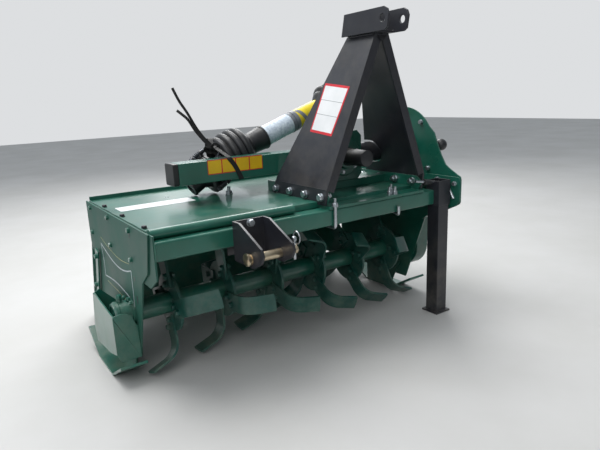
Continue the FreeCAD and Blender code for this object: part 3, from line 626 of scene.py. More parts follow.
def dress(node: str, finish: Finish, bevel_mm: float = 1.2, body: str = "frame",
          smooth: float = 30.0) -> bpy.types.Object:
    """A CAD node carried over with rounded edges.

    The node's mesh is copied and merged, its flat faces are joined, and the copy stands for it.

    Args:
        node: the node's name.
        finish: its material.
        bevel_mm: width of its rounded edges.
        body: the body it moves with.
        smooth: the angle past which an edge stays sharp.

    Returns:
        The new object.
    """
    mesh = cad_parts[node].data.copy()
    mesh.name = f"{node}_dressed"
    work = bmesh.new()
    work.from_mesh(mesh)
    bmesh.ops.remove_doubles(work, verts=work.verts, dist=1e-5)
    bmesh.ops.dissolve_limit(work, angle_limit=math.radians(0.6), verts=work.verts,
                             edges=work.edges)
    work.to_mesh(mesh)
    work.free()
    if mesh.has_custom_normals:
        mesh.normals_split_custom_set([(0.0, 0.0, 0.0)] * len(mesh.loops))
    piece = bpy.data.objects.new(f"{node}_dressed", mesh)
    return finish_piece(piece, finish, body, (node,), bevel_mm, smooth)


def stretch(piece: bpy.types.Object, axis: int, start: float, by: float) -> None:
    """Lengthen a piece: its points past a place on an axis are moved by a distance.

    Args:
        piece: the mesh object.
        axis: 0, 1 or 2.
        start: the place in millimetres.
        by: the distance; below zero it moves the points on the lower side.
    """
    mesh = piece.data
    points = np.empty(len(mesh.vertices) * 3)
    mesh.vertices.foreach_get("co", points)
    points = points.reshape(-1, 3)
    place = (start - ORIGIN[axis]) * MM
    far = points[:, axis] > place if by > 0 else points[:, axis] < place
    points[far, axis] += by * MM
    mesh.vertices.foreach_set("co", points.ravel())
    mesh.update()


def carry(node: str, finish: Finish) -> None:
    """A CAD node kept as it is, with a better material."""
    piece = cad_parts[node]
    piece.data.materials.clear()
    piece.data.materials.append(finish.material())
    LOG.info("%s kept, %s", node, finish.name)


# ---------------------------------------------------------------- sub-assemblies


@dataclass
class Hood:
    """The end plates, the hood between them and the square beam, with bolts and welds."""

    deck: float = 557.0
    beam_low: float = 475.0
    width: float = 1270.0
    band_wide: float = 4.6
    arc_wide: float = 2.2
    nose_inset: float = 5.8
    nose_thick: float = 5.6
    plate_rows: tuple = ((203, 538), (446, 540), (692, 538), (214, 438), (448, 438), (706, 438))
    stripe: tuple = ((44, 424), (330, 508))
    slots: tuple = ((203, 375, 5, 8), (197, 304, 5, 15), (205, 524, 7, 4), (205, 515, 7, 3))
    nose: tuple = ((-68, 488), (-68, 570), (-63, 580), (-54, 584), (118, 584), (118, 452), (0, 444),
                   (-48, 464))
    band: tuple = (((594, 415), (532, 397), (450, 378), (365, 371), (292, 379), (232, 395)),
                   ((232, 395), (234, 330), (237, 267)),
                   ((237, 267), (290, 286), (349, 294), (420, 299), (500, 297), (583, 289)),
                   ((583, 289), (580, 350), (594, 415)))
    arcs: tuple = (((585, 441), (507, 423), (397, 409), (320, 408), (245, 416)),
                   ((562, 273), (483, 270), (400, 268), (330, 262)))

    def build(self) -> None:
        """Make every piece of the hood."""
        for node, finish, width in (("front_beam", GREEN, 0.0), ("hood_deck", GREEN, 1.0),
                                    ("hood_end_right", GREEN, 0.8), ("end_plate_right", GREEN, 1.2),
                                    # The left end plate and its hood end take the darker green, which is
                                    # painted shade.
                                    ("hood_end_left", SHADED_SATIN_GREEN, 0.8),
                                    ("end_plate_left", SHADED_SATIN_GREEN, 1.2)):
            dress(node, finish, width)
        carry("hood_rib", GREEN)
        make_piece("plate_bolts", self.bolts(), GREEN, smooth=30)
        # The deck's bolt heads are black, painted shade.
        make_piece("shaded_deck_bolts", self.shaded_deck_bolts(), BLACK, smooth=30)
        make_piece("hood_welds", self.welds(), GREEN, smooth=60)
        stripe = plate(rounded(rect(*self.stripe), 6), Plane.UP, self.deck, FILM)
        make_piece("deck_stripe", stripe, WHITE_FILM)
        make_piece("side_band", self.lines(self.band, self.band_wide), SILVER_FILM)
        make_piece("side_arcs", self.lines(self.arcs, self.arc_wide), STRAW_FILM)
        # The slots and holes show as black film, painted shade.
        make_piece("painted_slot_shade", self.slot_shades(), PLASTIC)
        nose = plate(self.nose, Plane.ACROSS, self.width - self.nose_inset, self.nose_thick)
        make_piece("nose_plate", nose, GREEN, bevel_mm=1.2)

    def bolts(self) -> Shell:
        """Painted bolt heads on the outer faces of both end plates."""
        head = Bolt(flats=16, head=6.5)
        rows = list(enumerate(self.plate_rows))
        return join([head.shell((0, *place), (-1, 0, 0), 0.3 + 0.2 * k) for k, place in rows]
                    + [head.shell((self.width + 6, *place), (1, 0, 0), 0.1 * k)
                       for k, place in rows if place[0] > 400])

    @staticmethod
    def lines(curves: Sequence[Rows], width: float) -> Shell:
        """Thin flat lines along smooth curves on the left plate's outer face."""
        section = np.array(rect((-width / 2, 0.0), (width / 2, FILM)))
        return join([sweep(smooth_path([(0.0, y, z) for y, z in curve], 8), section, up=(-1, 0, 0))
                     for curve in curves])

    def slot_shades(self) -> Shell:
        """Black film on the left plate's outer face, painted shade for the dark inside of the slots and
        holes near its front edge.
        """
        deep = 0.35
        return join([plate(rounded(rect((y - w, z - h), (y + w, z + h)), w, 4), Plane.ACROSS,
                           -deep, deep) for y, z, w, h in self.slots])

    def shaded_deck_bolts(self) -> Shell:
        """Bolt heads through the top of the hood beside the two plates, made black as painted shade
        where they stand in shadow.
        """
        head = Bolt(flats=16, head=7)
        return join([head.shell((x, y, self.deck), (0, 0, 1), turn)
                     for x, turn, rows in ((22, 0.2, (112, 338, 560)),
                                           (self.width - 22, 0.5, (560, 690)))
                     for y in rows])

    def welds(self) -> Shell:
        """Beads where the hood meets the plates, the beam and its ribs."""
        left, right, deck = 12.0, self.width - 12, self.deck
        lines = [((left, 66, deck), (left, 740, deck)), ((right, 80, deck), (right, 740, deck)),
                 ((left, 1, self.beam_low + 2), (left, 1, self.beam_low + 58)),
                 ((left + 4, 60, self.beam_low + 59), (250, 60, self.beam_low + 59)),
                 ((6.5, 430, 425), (6.5, 740, 425))]
        return join([weld(*line) for line in lines])


@dataclass
class Guard:
    """The box of bent plate round the free bearing, the bearing itself and the runners."""

    reach: float = 80.0
    thick: float = 5.0
    gap: float = 0.3
    axle: tuple = AXLE

    def build(self) -> None:
        """Make every piece of the guard."""
        make_piece("bearing_guard_plates", self.plates(), GREEN, replaces=("bearing_guard",),
                   bevel_mm=1.0)
        dress("shoe_left", GREEN, 1.5)
        dress("shoe_right", GREEN, 1.5)
        make_piece("bearing_cap", self.housing(), CAST_GREEN, replaces=("bearing_housing",),
                   smooth=30)
        make_piece("guard_bolts", self.bolts(), GREEN, smooth=30)
        make_piece("runner_strut", plate([(615, 378), (648, 386), (728, 160), (700, 150)],
                                         Plane.ACROSS, -12.3, 6.0), GREEN, bevel_mm=1.0)

    def plates(self) -> Shell:
        """The outer, front and rear plates and the flanges that are bolted to the end plate."""
        out, seat = -self.reach, -self.gap
        low = seat - self.thick
        outer = [(222, 127), (240, 113), (309, 96), (492, 75), (508, 130), (469, 262), (449, 274),
                 (227, 256), (222, 250)]
        front = [(out, 122), (out, 250), (out + 5, 257), (out + 22, 260), (out + 42, 258),
                 (out + 62, 246), (low, 208), (seat, 205), (seat, 92), (out + 12, 91)]
        rear = [(out, 78), (out, 268), (out + 24, 281), (seat, 222), (seat, 88)]
        front_flange = [(227, 93), (227, 212), (244, 208), (244, 93)]
        rear_flange = [(448, 90), (448, 222), (464, 226), (464, 88)]
        return join([plate(outline, plane, start, self.thick) for outline, plane, start in (
            (outer, Plane.ACROSS, out), (front, Plane.ALONG, 222), (rear, Plane.ALONG, 464),
            (front_flange, Plane.ACROSS, low), (rear_flange, Plane.ACROSS, low))])

    def housing(self) -> Shell:
        """The bearing housing: a turned cup with a collar, a rim and a sealed cap, and its boss."""
        y, z = self.axle
        rings = [(0, 47), (9, 47), (11, 44), (46, 44), (49, 46), (57, 46), (60, 43), (66, 41),
                 (66, 33), (63, 31), (63, 12), (65, 10), (65, 1)]
        return join([lathe(rings, (-self.gap, y, z), (-1, 0, 0), 48),
                     lathe([(0, 9), (16, 9), (17, 8)], (-40, y, z + 40), (0, 0, 1), 20)])

    def bolts(self) -> Shell:
        """Bolts on the housing, on the inner flange and on the plate's rear strip."""
        y, z = self.axle
        out, up = (-1, 0, 0), (0, 0, 1)
        small, large = Bolt(flats=13, head=7, washer=1.5), Bolt(head=9)
        shells = [bolt.shell(place, axis) for bolt, place, axis in (
            (large, (-12.3, 636, 356), out), (large, (-12.3, 700, 222), out),
            (large, (-40, y, z + 57), up), (small, (-12, y - 8, z + 46), up),
            (small, (-5.5, 236, 186), out), (small, (-5.5, 236, 112), out))]
        for angle in np.radians((40, 130, 220, 310)):
            shells.append(small.shell((-9, y + 60 * np.cos(angle), z + 60 * np.sin(angle)), out))
        return join(shells)


@dataclass
class Rotor:
    """The pipe with its six flanges, and the bolts that hold the tines."""

    axle: tuple = AXLE
    first: float = 138.0
    pitch: float = 203.0
    start: float = -21.6
    step: float = 16.7
    head_seat: float = 12.5
    nut_seat: float = 5.0
    rows: tuple = ((-20.0, 62.0), (-44.0, 88.0))

    def build(self) -> None:
        """Make the rotor's pieces."""
        carry("rotor_pipe", GREEN)
        for index in range(6):
            # The flanges, tines and their bolts take the darker green, painted shade.
            dress(f"rotor_flange_{index + 1}", SHADED_TINE_GREEN, 1.4, "rotor")
            make_piece(f"tine_bolts_{index + 1}", self.bolts(index), SHADED_TINE_GREEN, "rotor",
                       smooth=30)

    def bolts(self, index: int) -> Shell:
        """Heads and nuts of one flange, two to a tine.

        A place in the tine's own frame is turned about the axle by the tine's angle.
        """
        head, nut = Bolt(flats=19, head=9), Bolt(flats=19, head=10, thread=4)
        across = self.first + self.pitch * index
        shells = []
        for turn in range(4):
            angle = math.radians(90 + self.start + 90 * turn + self.step * index)
            cos, sin = math.cos(angle), math.sin(angle)
            for y, z in self.rows:
                place = (self.axle[0] + y * cos - z * sin, self.axle[1] + y * sin + z * cos)
                shells.append(head.shell((across - self.head_seat, *place), (-1, 0, 0), angle))
                shells.append(nut.shell((across + self.nut_seat, *place), (1, 0, 0), angle + 0.4))
        return join(shells)


@dataclass
class Drive:
    """The gearbox with its capped input shaft, the cross tube, and the gear case at the side."""

    centre: tuple = (885.0, 258.0, 688.0)
    axle: tuple = AXLE
    cap_front: float = 64.0
    plate_rows: tuple = ((1270, 152, 801), (1270, 258, 838), (1270, 364, 796), (1270, 161, 638),
                         (1270, 109, 607), (1270, 400, 640), (1264.2, 52, 566), (1264.2, -40, 556))

    def build(self) -> None:
        """Make the drive's pieces."""
        dress("gearbox", CAST_GREEN, 5.0)
        # The cross tube is dressed black, painted shade: it stands in deep shadow, and its own paint is
        # likely green.
        dress("drive_tube", BLACK, 1.0)
        make_piece("tube_flange", self.flange(), GREEN, smooth=30)
        dress("side_case", CAST_GREEN, 2.0)
        make_piece("input_cap", self.cap(), PLASTIC, replaces=("input_shaft_cap",), smooth=30)
        make_piece("input_ring", self.ring(), ZINC, smooth=30)
        make_piece("gearbox_ribs", self.ribs(), CAST_GREEN, bevel_mm=1.5)
        make_piece("gearbox_bolts", self.bolts(), ZINC, smooth=30)
        make_piece("case_bolts", self.case_bolts(), ZINC, smooth=30)
        make_piece("case_knob", self.knob(), PLASTIC, smooth=30)

    def flange(self) -> Shell:
        """The green rim of the tube's flange on the right plate."""
        _, y, z = self.centre
        return lathe([(0, 50), (0, 86), (1, 87.5), (12.5, 87.5), (12.5, 50)], (1257.3, y, z),
                     (1, 0, 0), 64)

    def cap(self) -> Shell:
        """The moulded cap on the input shaft, with a step near its rim."""
        rings = [(0, 27), (2, 31), (4, 32), (96, 32), (98, 33.5), (112, 33.5), (114, 36),
                 (134, 36), (137.7, 34)]
        return lathe(rings, (self.centre[0], self.cap_front, self.centre[2]), (0, 1, 0), 48)

    def ring(self) -> Shell:
        """The plated clamp ring where the cap meets the gearbox's neck."""
        rings = [(0, 33), (0, 38.5), (1, 39.5), (9, 39.5), (10, 38.5), (10, 33)]
        return lathe(rings, (self.centre[0], self.cap_front + 120, self.centre[2]), (0, 1, 0), 48)

    def ribs(self) -> Shell:
        """Cover plates, ribs and plugs on the gearbox's casting."""
        x, _, z = self.centre
        top = z + 100
        cover = plate(rounded([(x - 66, 226), (x + 66, 226), (x + 66, 380), (x - 66, 380)], 22),
                      Plane.UP, top - 1, 11)
        face = lathe([(0, 78), (10, 78), (13, 74), (13, 50), (16, 48), (30, 46), (30, 10)],
                     (x, 209, z), (0, -1, 0), 48)
        left = lathe([(0, 72), (9, 72), (12, 68), (12, 20), (14, 18), (14, 4)],
                     (x - 94.5, 303, z), (-1, 0, 0), 40)
        plug = lathe([(0, 13), (12, 13), (14, 11), (22, 11), (24, 9)], (x + 30, 300, top + 9),
                     (0, 0, 1), 24)
        webs = [block((x + dx - 4, 214, z - 96), (x + dx + 4, 396, z - 74)) for dx in (-50, 0, 50)]
        return join([cover, face, left, plug] + webs)

    def bolts(self) -> Shell:
        """Screws round the gearbox's covers and the tube's flange."""
        x, y, z = self.centre
        small = Bolt(flats=13, head=6, washer=1.5)
        angles = np.arange(0.3, 6.2, np.pi / 3)
        return join(small.ring((x, 197, z), 63, angles, (0, -1, 0))
                    + small.ring((x - 103, 303, z), 60, angles, (-1, 0, 0))
                    + Bolt().ring((1258, y, z), 68, angles, (-1, 0, 0))
                    + [small.shell((x + dx, along, z + 110), (0, 0, 1), dx)
                       for dx in (-54, 54) for along in (240, 303, 366)])

    def case_bolts(self) -> Shell:
        """Bolts that hold the case to the right plate, and screws on the case's cover."""
        _, y, z = self.centre
        lean, drop = self.axle[0] - y, z - self.axle[1]
        out, outer = (1, 0, 0), 1342.0
        large, small = Bolt(head=9, washer=2.5), Bolt(flats=13, head=6, washer=1.5)
        return join([large.shell(place, (-1, 0, 0), place[1]) for place in self.plate_rows]
                    + small.ring((outer, y, z), 104, np.radians((20, 65, 115, 160)), out)
                    + small.ring((outer, *self.axle), 90, np.radians((200, 245, 295, 340)), out)
                    + [small.shell((outer, y + lean * t + side * 98, z - drop * t), out)
                       for t in (0.28, 0.5, 0.72) for side in (-1, 1)])

    def knob(self) -> Shell:
        """A round knob on a short stem in front of the gear case."""
        angle = np.linspace(-1.2, 1.45, 12)
        ball = [(66 + 25 * math.sin(a), 25 * math.cos(a)) for a in angle]
        return lathe([(0, 11), (6, 11), (8, 8)] + ball, (1310, 141, 703), (0, -1, 0.03), 32)


@dataclass
class HitchFrame:
    """The mount on the beam, the two leaning masts, the top ears and their fasteners."""

    centre: float = 885.0
    span: float = 476.0
    foot_rows: tuple = (52.0, 151.0, 250.0, 348.0)
    left_shift: float = -18.0
    foot_level: float = 577.0
    sheet: float = 8.0
    clamp_level: float = 545.0
    clamp_nuts: tuple = ((667, -7), (667, 67), (1010, 67), (980, 14), (962, 26))
    bend: float = 604.0
    top: float = 1132.0
    lean: float = 22.25
    mast_plate: tuple = ((62, 195), (200, 209), (189, 399), (38, 380))

    def build(self) -> None:
        """Make the hitch frame's pieces."""
        for node, finish, width in (("mount_bracket", GREEN, 1.5), ("mast_left", BLACK, 1.8),
                                    ("mast_right", BLACK, 1.8), ("top_clevis", BLACK, 1.8)):
            dress(node, finish, width)
        make_piece("clamp_rods", self.clamps(), ZINC, replaces=("beam_clamps",), smooth=50)
        make_piece("mast_gusset", self.gusset(), BLACK, bevel_mm=0.8)
        make_piece("foot_bolts", self.bolts(), ZINC, smooth=30)
        for (name, finish), shell in zip((("border", RED_FILM), ("field", WHITE_FILM),
                                          ("rules", GREY)), self.plate_parts()):
            make_piece(f"mast_plate_{name}", shell, finish)
        make_piece("mast_welds", self.welds(), BLACK, smooth=60)

    def bolts(self) -> Shell:
        """Bolts through the masts' feet, with nuts inside, and nuts on the beam's clamps."""
        head, nut = Bolt(flats=24, head=12, washer=3), Bolt(flats=24, head=14, washer=3, thread=8)
        clamp = Bolt(flats=19, head=11, washer=2.5, thread=16)
        shells = []
        for side, shift, head_turn, nut_turn in ((-1, self.left_shift, 0.4, 0.3), (1, 0.0, 0.2, 0.5)):
            for bolt, depth, facing, turn in ((head, self.sheet, side, head_turn),
                                              (nut, -self.sheet, -side, nut_turn)):
                x = self.centre + side * (self.span / 2 + depth)
                shells += [bolt.shell((x, y + shift, self.foot_level), (facing, 0, 0), turn * k)
                           for k, y in enumerate(self.foot_rows)]
        shells += [clamp.shell((x, y, self.clamp_level), (0, 0, 1), 0.3 + 0.02 * y)
                   for x, y in self.clamp_nuts]
        return join(shells)

    @staticmethod
    def clamps() -> Shell:
        """The bent rods round the beam: a full bow on the left, a hook on the right."""
        bow = [(667, 67, 560), (667, 67, 486), (667, 64, 470), (667, 50, 467), (667, 10, 467),
               (667, -4, 470), (667, -7, 486), (667, -7, 560)]
        hook = [(1010, 67, 560), (1010, 67, 486), (1009, 63, 470), (1004, 50, 467), (986, 8, 467),
                (979, -5, 469), (978, -8, 480), (978, -8, 500)]
        return join([sweep(smooth_path(path, 6), circle(6.2, 14), up=(1, 0.2, 0.1))
                     for path in (bow, hook)])

    def gusset(self) -> Shell:
        """A small three-cornered plate between the masts' tops, its foot a little forward."""
        front = np.array([(self.centre - 33, -12, self.top - 1), (self.centre + 33, -12, self.top - 1),
                          (self.centre, -26, self.top - 30)])
        return skin(np.stack([front, front + np.array([0.0, 4.0, 2.0])]))

    def _on_web(self, points: np.ndarray, lift: float, thick: float) -> Shell:
        """A thin plate on the left mast's leaning outer face.

        A point (y, up) of the face lies at the foot plus up along the lean.
        """
        lean = math.radians(self.lean)
        flat = plate(points, Plane.ACROSS, -lift - thick, thick)
        turn = np.array([[math.cos(lean), 0, math.sin(lean)], [0, 1, 0],
                         [-math.sin(lean), 0, math.cos(lean)]])
        return flat.turned(turn).moved((self.centre - self.span / 2 - self.sheet, 0, self.bend))

    def plate_parts(self) -> tuple[Shell, Shell, Shell]:
        """The blank plate on the left mast: red border, white field and two thin rules."""
        corners = np.asarray(self.mast_plate, float)
        middle = corners.mean(axis=0)
        inner = middle + (corners - middle) * 0.9
        rules = []
        for t in (0.36, 0.68):
            a, b = inner[:2] + (inner[:1:-1] - inner[:2]) * t
            up = np.array([0.0, 1.4])
            rules.append(self._on_web(np.array([a, b, b + up, a + up]), 0.9, 0.2))
        return (self._on_web(rounded(corners, 4), 0.0, FILM), self._on_web(inner, FILM, 0.4),
                join(rules))

    def welds(self) -> Shell:
        """Beads between the ears and the mast tops."""
        outer = self.span / 2 + self.sheet - (self.top - self.bend) * math.tan(math.radians(self.lean))
        return join([weld((self.centre + side * outer, -12, self.top - 2),
                          (self.centre + side * outer, 130, self.top - 2), 3.5) for side in (-1, 1)])


@dataclass
class SupportArm:
    """The square arm behind the masts, its end cap and its blank plates."""

    front: float = 342.0
    low: float = 632.0
    side: float = 80.0
    end_cut: float = 300.0
    end_shift: float = -5.7
    cap_start: float = 218.0
    panels: tuple = (351.0, 409.5, 468.0, 526.5, 585.0)
    panel_heights: tuple = (660.0, 714.0)
    fitting: tuple = (486, 452, 557)

    def build(self) -> None:
        """Make the arm's pieces."""
        stretch(dress("support_arm", GREEN, 4.0), 0, self.end_cut, self.end_shift)
        make_piece("arm_cap", self.cap(), PLASTIC, replaces=("arm_end_cap",), bevel_mm=2.5)
        low, high = self.panel_heights
        face = self.front - FILM
        border = plate(rounded(rect((self.panels[0], low), (self.panels[-1], high)), 3), Plane.ALONG,
                       face, FILM)
        make_piece("arm_plate_border", border, RED_FILM)
        fields = [plate(rect((a + 2.5, low + 3), (b - 2.5, high - 3)), Plane.ALONG, face - 0.4, 0.4)
                  for a, b in zip(self.panels[:-1], self.panels[1:])]
        make_piece("arm_plate_fields", join(fields), YELLOW_FILM)
        fitting = Bolt(flats=24, head=12, washer=3, thread=16)
        make_piece("deck_fitting", fitting.shell(self.fitting, (0, 0, 1), 0.2), ZINC, smooth=30)

    def cap(self) -> Shell:
        """A moulded cap whose end is slightly dished: square rings along X, each drawn in by some."""
        outline = rounded(rect((0, 0), (self.side, self.side)), 7, 6)
        middle = self.side / 2
        rings = []
        for x, inset in ((0.0, -6.0), (0.0, 0.0), (3.0, 0.0), (21.0, 0.0)):
            ring = middle + (outline - middle) * (1 + inset / self.side)
            rings.append(np.column_stack([np.full(len(ring), self.cap_start + x),
                                          ring + (self.front, self.low)]))
        return skin(np.stack(rings))


@dataclass
class LowerHitch:
    """The lower hitch bracket, its clamp plate, and the plated pin with its linch pin."""

    left: float = 263.0
    width: float = 116.0
    pin: tuple = (-104.0, 458.0)

    def build(self) -> None:
        """Make the lower hitch's pieces."""
        dress("hitch_bracket", BLACK, 1.5)
        dress("hitch_clamp", BLACK, 1.2)
        make_piece("lower_pin", self.pin_shell(), STRAW, replaces=("hitch_pin",), smooth=30)
        make_piece("linch_pin", self.linch(), ZINC, smooth=50)
        make_piece("bracket_bolts", self.bolts(), ZINC, smooth=30)

    def pin_shell(self) -> Shell:
        """The pin: head, collar, shank and grooved, chamfered end."""
        end = 24 + self.width + 46
        rings = [(0, 17), (1.5, 20), (8, 20), (8, 15), (15.7, 15), (15.7, 18), (23.7, 18),
                 (23.7, 15), (24 + self.width + 1, 15), (24 + self.width + 2, 14),
                 (end - 4, 14), (end, 11)]
        return lathe(rings, (self.left - 24 + 8, *self.pin), (1, 0, 0), 40)

    def linch(self) -> Shell:
        """The linch pin through the pin's end, and the sprung ring that holds it."""
        x = self.left + self.width + 45
        y, z = self.pin
        stem = lathe([(0, 3), (3, 5), (62, 5), (64, 8), (74, 8), (77, 5)], (x, y, z - 34),
                     (0, 0, 1), 20)
        angle = turns(48)
        ring = np.stack([x + 0 * angle, y - 14 + 18 * np.sin(angle), z + 41 + 20 * np.cos(angle)], -1)
        return join([stem, sweep(ring, circle(2.5, 10), up=(1, 0, 0), loop=True)])

    def bolts(self) -> Shell:
        """Two bolts that draw the bracket and its clamp plate on to the beam."""
        head = Bolt(flats=22, head=11, washer=2.5)
        nut = Bolt(flats=22, head=12, washer=2.5, thread=8)
        x = self.left + self.width / 2 + 2
        shells = []
        for z in (452, 546):
            shells += [head.shell((x, -8, z), (0, -1, 0), x), nut.shell((x, 68, z), (0, 1, 0), z),
                       lathe([(0, 6), (76, 6)], (x, -8, z), (0, 1, 0), 16)]
        return join(shells)


@dataclass
class StowedShaft:
    """The drive shaft laid on the arm in its bellows and sleeves, its clutch, and its strap."""

    joint: tuple = (515.0, 519.0, 698.6)
    pivot_ahead: float = 28.0
    clutch_start: float = 22.0
    rise: float = 20.1
    drop: float = 33.0
    ring_start: float = -28.0
    ring_pitch: float = 29.5
    ring_tops: tuple = (92.0, 96.0, 97.0, 94.0)
    ring_deep: float = 11.0
    yoke_half: float = 40.0
    plate_radius: float = 80.0
    bolt_radius: float = 89.0
    bolt_turns: tuple = (32, 90, 148, 206, 328)
    collar: tuple = ((117, 34), (117, 45), (119, 46), (126, 46), (130, 45), (188, 49.5), (190, 51.8),
                     (196, 51.8), (197, 50), (197, 38))
    sleeve: tuple = ((196, 41), (196, 43.5), (338, 43.5), (339, 42.5))
    grey_rings: tuple = ((338, 38), (338, 44.5), (340, 45.2), (352, 45.2), (354, 44.5), (354, 42),
                         (357, 42), (357, 45), (374, 45), (376, 44), (376, 38))
    inner: tuple = ((375, 37), (375, 42), (420, 42), (512, 40))
    strap_corners: tuple = (
        (441.0, 351.0, 719.5), (441.5, 341.0, 713.5), (452, 340.6, 700), (467.0, 340.6, 677.0),
        (485.0, 340.6, 640.0), (488.0, 341.0, 630.6), (489.0, 350.0, 630.3), (494.0, 412.0, 630.3),
        (494.0, 424.0, 632.0), (490.0, 470.0, 640.0), (484.0, 540.0, 645.0), (476.0, 588.0, 690.0),
        (462.0, 574.0, 752.0), (448.0, 516.0, 780.0), (437.0, 468.0, 757.0), (440.0, 410.0, 736.0))
    tail_corners: tuple = (
        ((446, 462, 744), (428, 470, 762), (408, 470, 782), (378, 474, 826), (344, 468, 884),
         (318, 474, 930), (298, 480, 978)),
        ((440, 460, 740), (420, 464, 758), (400, 466, 778), (368, 468, 820), (340, 458, 860),
         (318, 462, 882), (303, 468, 896)),
        ((458, 460, 733), (436, 456, 741), (418, 452, 752), (404, 456, 752), (400, 466, 741),
         (416, 468, 731), (440, 464, 727)),
        ((462, 458, 748), (448, 452, 758), (432, 450, 760), (424, 456, 746), (432, 462, 730),
         (450, 462, 722)))
    axis: np.ndarray = field(init=False)
    down: np.ndarray = field(init=False)
    pivot: np.ndarray = field(init=False)
    clutch_at: np.ndarray = field(init=False)

    def __post_init__(self) -> None:
        """Work out the directions of the shaft and of the clutch."""
        rise, drop = math.radians(self.rise), math.radians(self.drop)
        self.axis = np.array([math.cos(rise), 0.0, math.sin(rise)])
        self.down = np.array([-math.cos(drop), 0.0, -math.sin(drop)])
        self.pivot = np.asarray(self.joint) + self.pivot_ahead * self.axis
        self.clutch_at = self.pivot + self.clutch_start * self.down

    def build(self) -> None:
        """Make the shaft's pieces."""
        for name, shell, finish, node, smooth in (
                ("bellows_near", self.bell(), PLASTIC, "shaft_bell", 60),
                ("collar_near", self.turned(self.collar), PLASTIC, "shaft_collar", 30),
                ("sleeve_pale", self.turned(self.sleeve), SLEEVE, "shaft_guard_outer", 30),
                ("sleeve_band", self.turned(self.inner), YELLOW, "shaft_guard_inner", 30),
                ("bellows_far", self.far_bell(), PLASTIC, "shaft_bell_far", 60),
                ("clutch_body", self.clutch(), IRON, "shaft_clutch", 30),
                ("strap_band", self.strap(), NYLON, "shaft_strap", 50)):
            make_piece(name, shell, finish, replaces=(node,), smooth=smooth)
        make_piece("joint_yokes", self.yokes(), FORGED, replaces=("shaft_joint",), bevel_mm=1.5)
        make_piece("sleeve_rings", self.turned(self.grey_rings), GREY, smooth=30)
        make_piece("sleeve_tape", self.tape(), GREY, smooth=50)
        make_piece("clutch_bolts", self.clutch_bolts(), FORGED, smooth=30)
        make_piece("strap_tails", self.tails(), NYLON, smooth=50)

    def turned(self, rings: Rows, sides: int = 64) -> Shell:
        """A profile turned about the shaft."""
        return lathe(rings, self.joint, self.axis, sides)

    def bell(self) -> Shell:
        """The near bellows: four fat rings, open at the mouth, then a cone to the collar.

        Between two valleys the radius is valley + deep * |sin| ** 0.6, which makes full, round
        ridges with sharp valleys.
        """
        t = np.linspace(0.0, 1.0, 15)
        outer = []
        for number, top in enumerate(self.ring_tops):
            along = self.ring_start + self.ring_pitch * (number + t[:-1])
            radius = top - self.ring_deep * (1 - np.abs(np.sin(np.pi * t[:-1])) ** 0.6)
            outer.append(np.stack([along, radius], axis=-1))
        end = self.ring_start + self.ring_pitch * len(self.ring_tops)
        cone = [(end, 80.0), (end + 6, 70.0), (end + 14, 58.0), (end + 26, 48.0), (end + 30, 40.0)]
        mouth = [(end + 2, 20.0), (end - 6, 54.0), (end - 24, 73.0), (self.ring_start + 12, 78.0),
                 (self.ring_start + 1, 75.0), (self.ring_start - 1, 78.0)]
        return self.turned(mouth + np.concatenate(outer).tolist() + cone)

    def far_bell(self) -> Shell:
        """The far bellows: a cone that opens into three rings, behind the mast."""
        t = np.linspace(0.0, 1.0, 43)
        wide = 45 + 40 * np.sin(np.pi / 2 * np.clip(t / 0.42, 0, 1)) ** 1.5
        radius = wide - 9 + 9 * np.abs(np.sin(np.pi * 4 * t)) ** 0.6
        rings = np.stack([510 + 130 * t, np.maximum(radius, 40)], axis=-1).tolist()
        return self.turned([(520, 20), (508, 36), (508, 43)] + rings + [(640, 70), (622, 62), (600, 20)])

    def tape(self) -> Shell:
        """A dark band that runs slanting round the yellow tube."""
        turn = np.linspace(-0.4, 3.7, 44)
        out = around(self.axis, turn + 2.2)
        path = np.asarray(self.joint) + (392 + 15 * turn)[:, None] * self.axis + 42.1 * out
        return skin(np.stack([path + along * self.axis + lift * out
                              for along, lift in rect((-9, 0), (9, FILM))], axis=1))

    def yokes(self) -> Shell:
        """The universal joint: two forks and the cross between them."""
        joint, half = self.pivot, self.yoke_half
        first, second, _ = across_axis(self.axis)
        arm = rounded(rect((-17, -8), (17, 8)), 4, 3)
        shells = [lathe([(40, 30), (42, 34), (74, 34), (76, 31), (110, 30)], joint, self.axis, 36),
                  lathe([(44, 32), (46, 36), (106, 36)], joint, self.down, 36)]
        for direction, along in ((first, self.axis), (unit(second + 0.35 * first), self.down)):
            direction = unit(direction - along * (direction @ along))
            shells.append(lathe([(-half - 14, 8), (-half - 12, 12), (half + 12, 12), (half + 14, 8)],
                                joint, direction, 24))
            for side in (-1, 1):
                seat = joint + side * half * direction
                path = np.stack([seat + t * along - side * w * direction
                                 for t, w in ((6.0, 0.0), (24.0, 1.0), (40.0, 8.0), (52.0, 14.0))])
                shells += [lathe([(-8, 19), (-6, 22), (6, 22), (8, 19)], seat, direction, 32),
                           lathe([(9, 10), (9, 13), (11, 13), (11, 10)], seat, side * direction, 24),
                           sweep(path, arm, up=direction)]
        return join(shells)

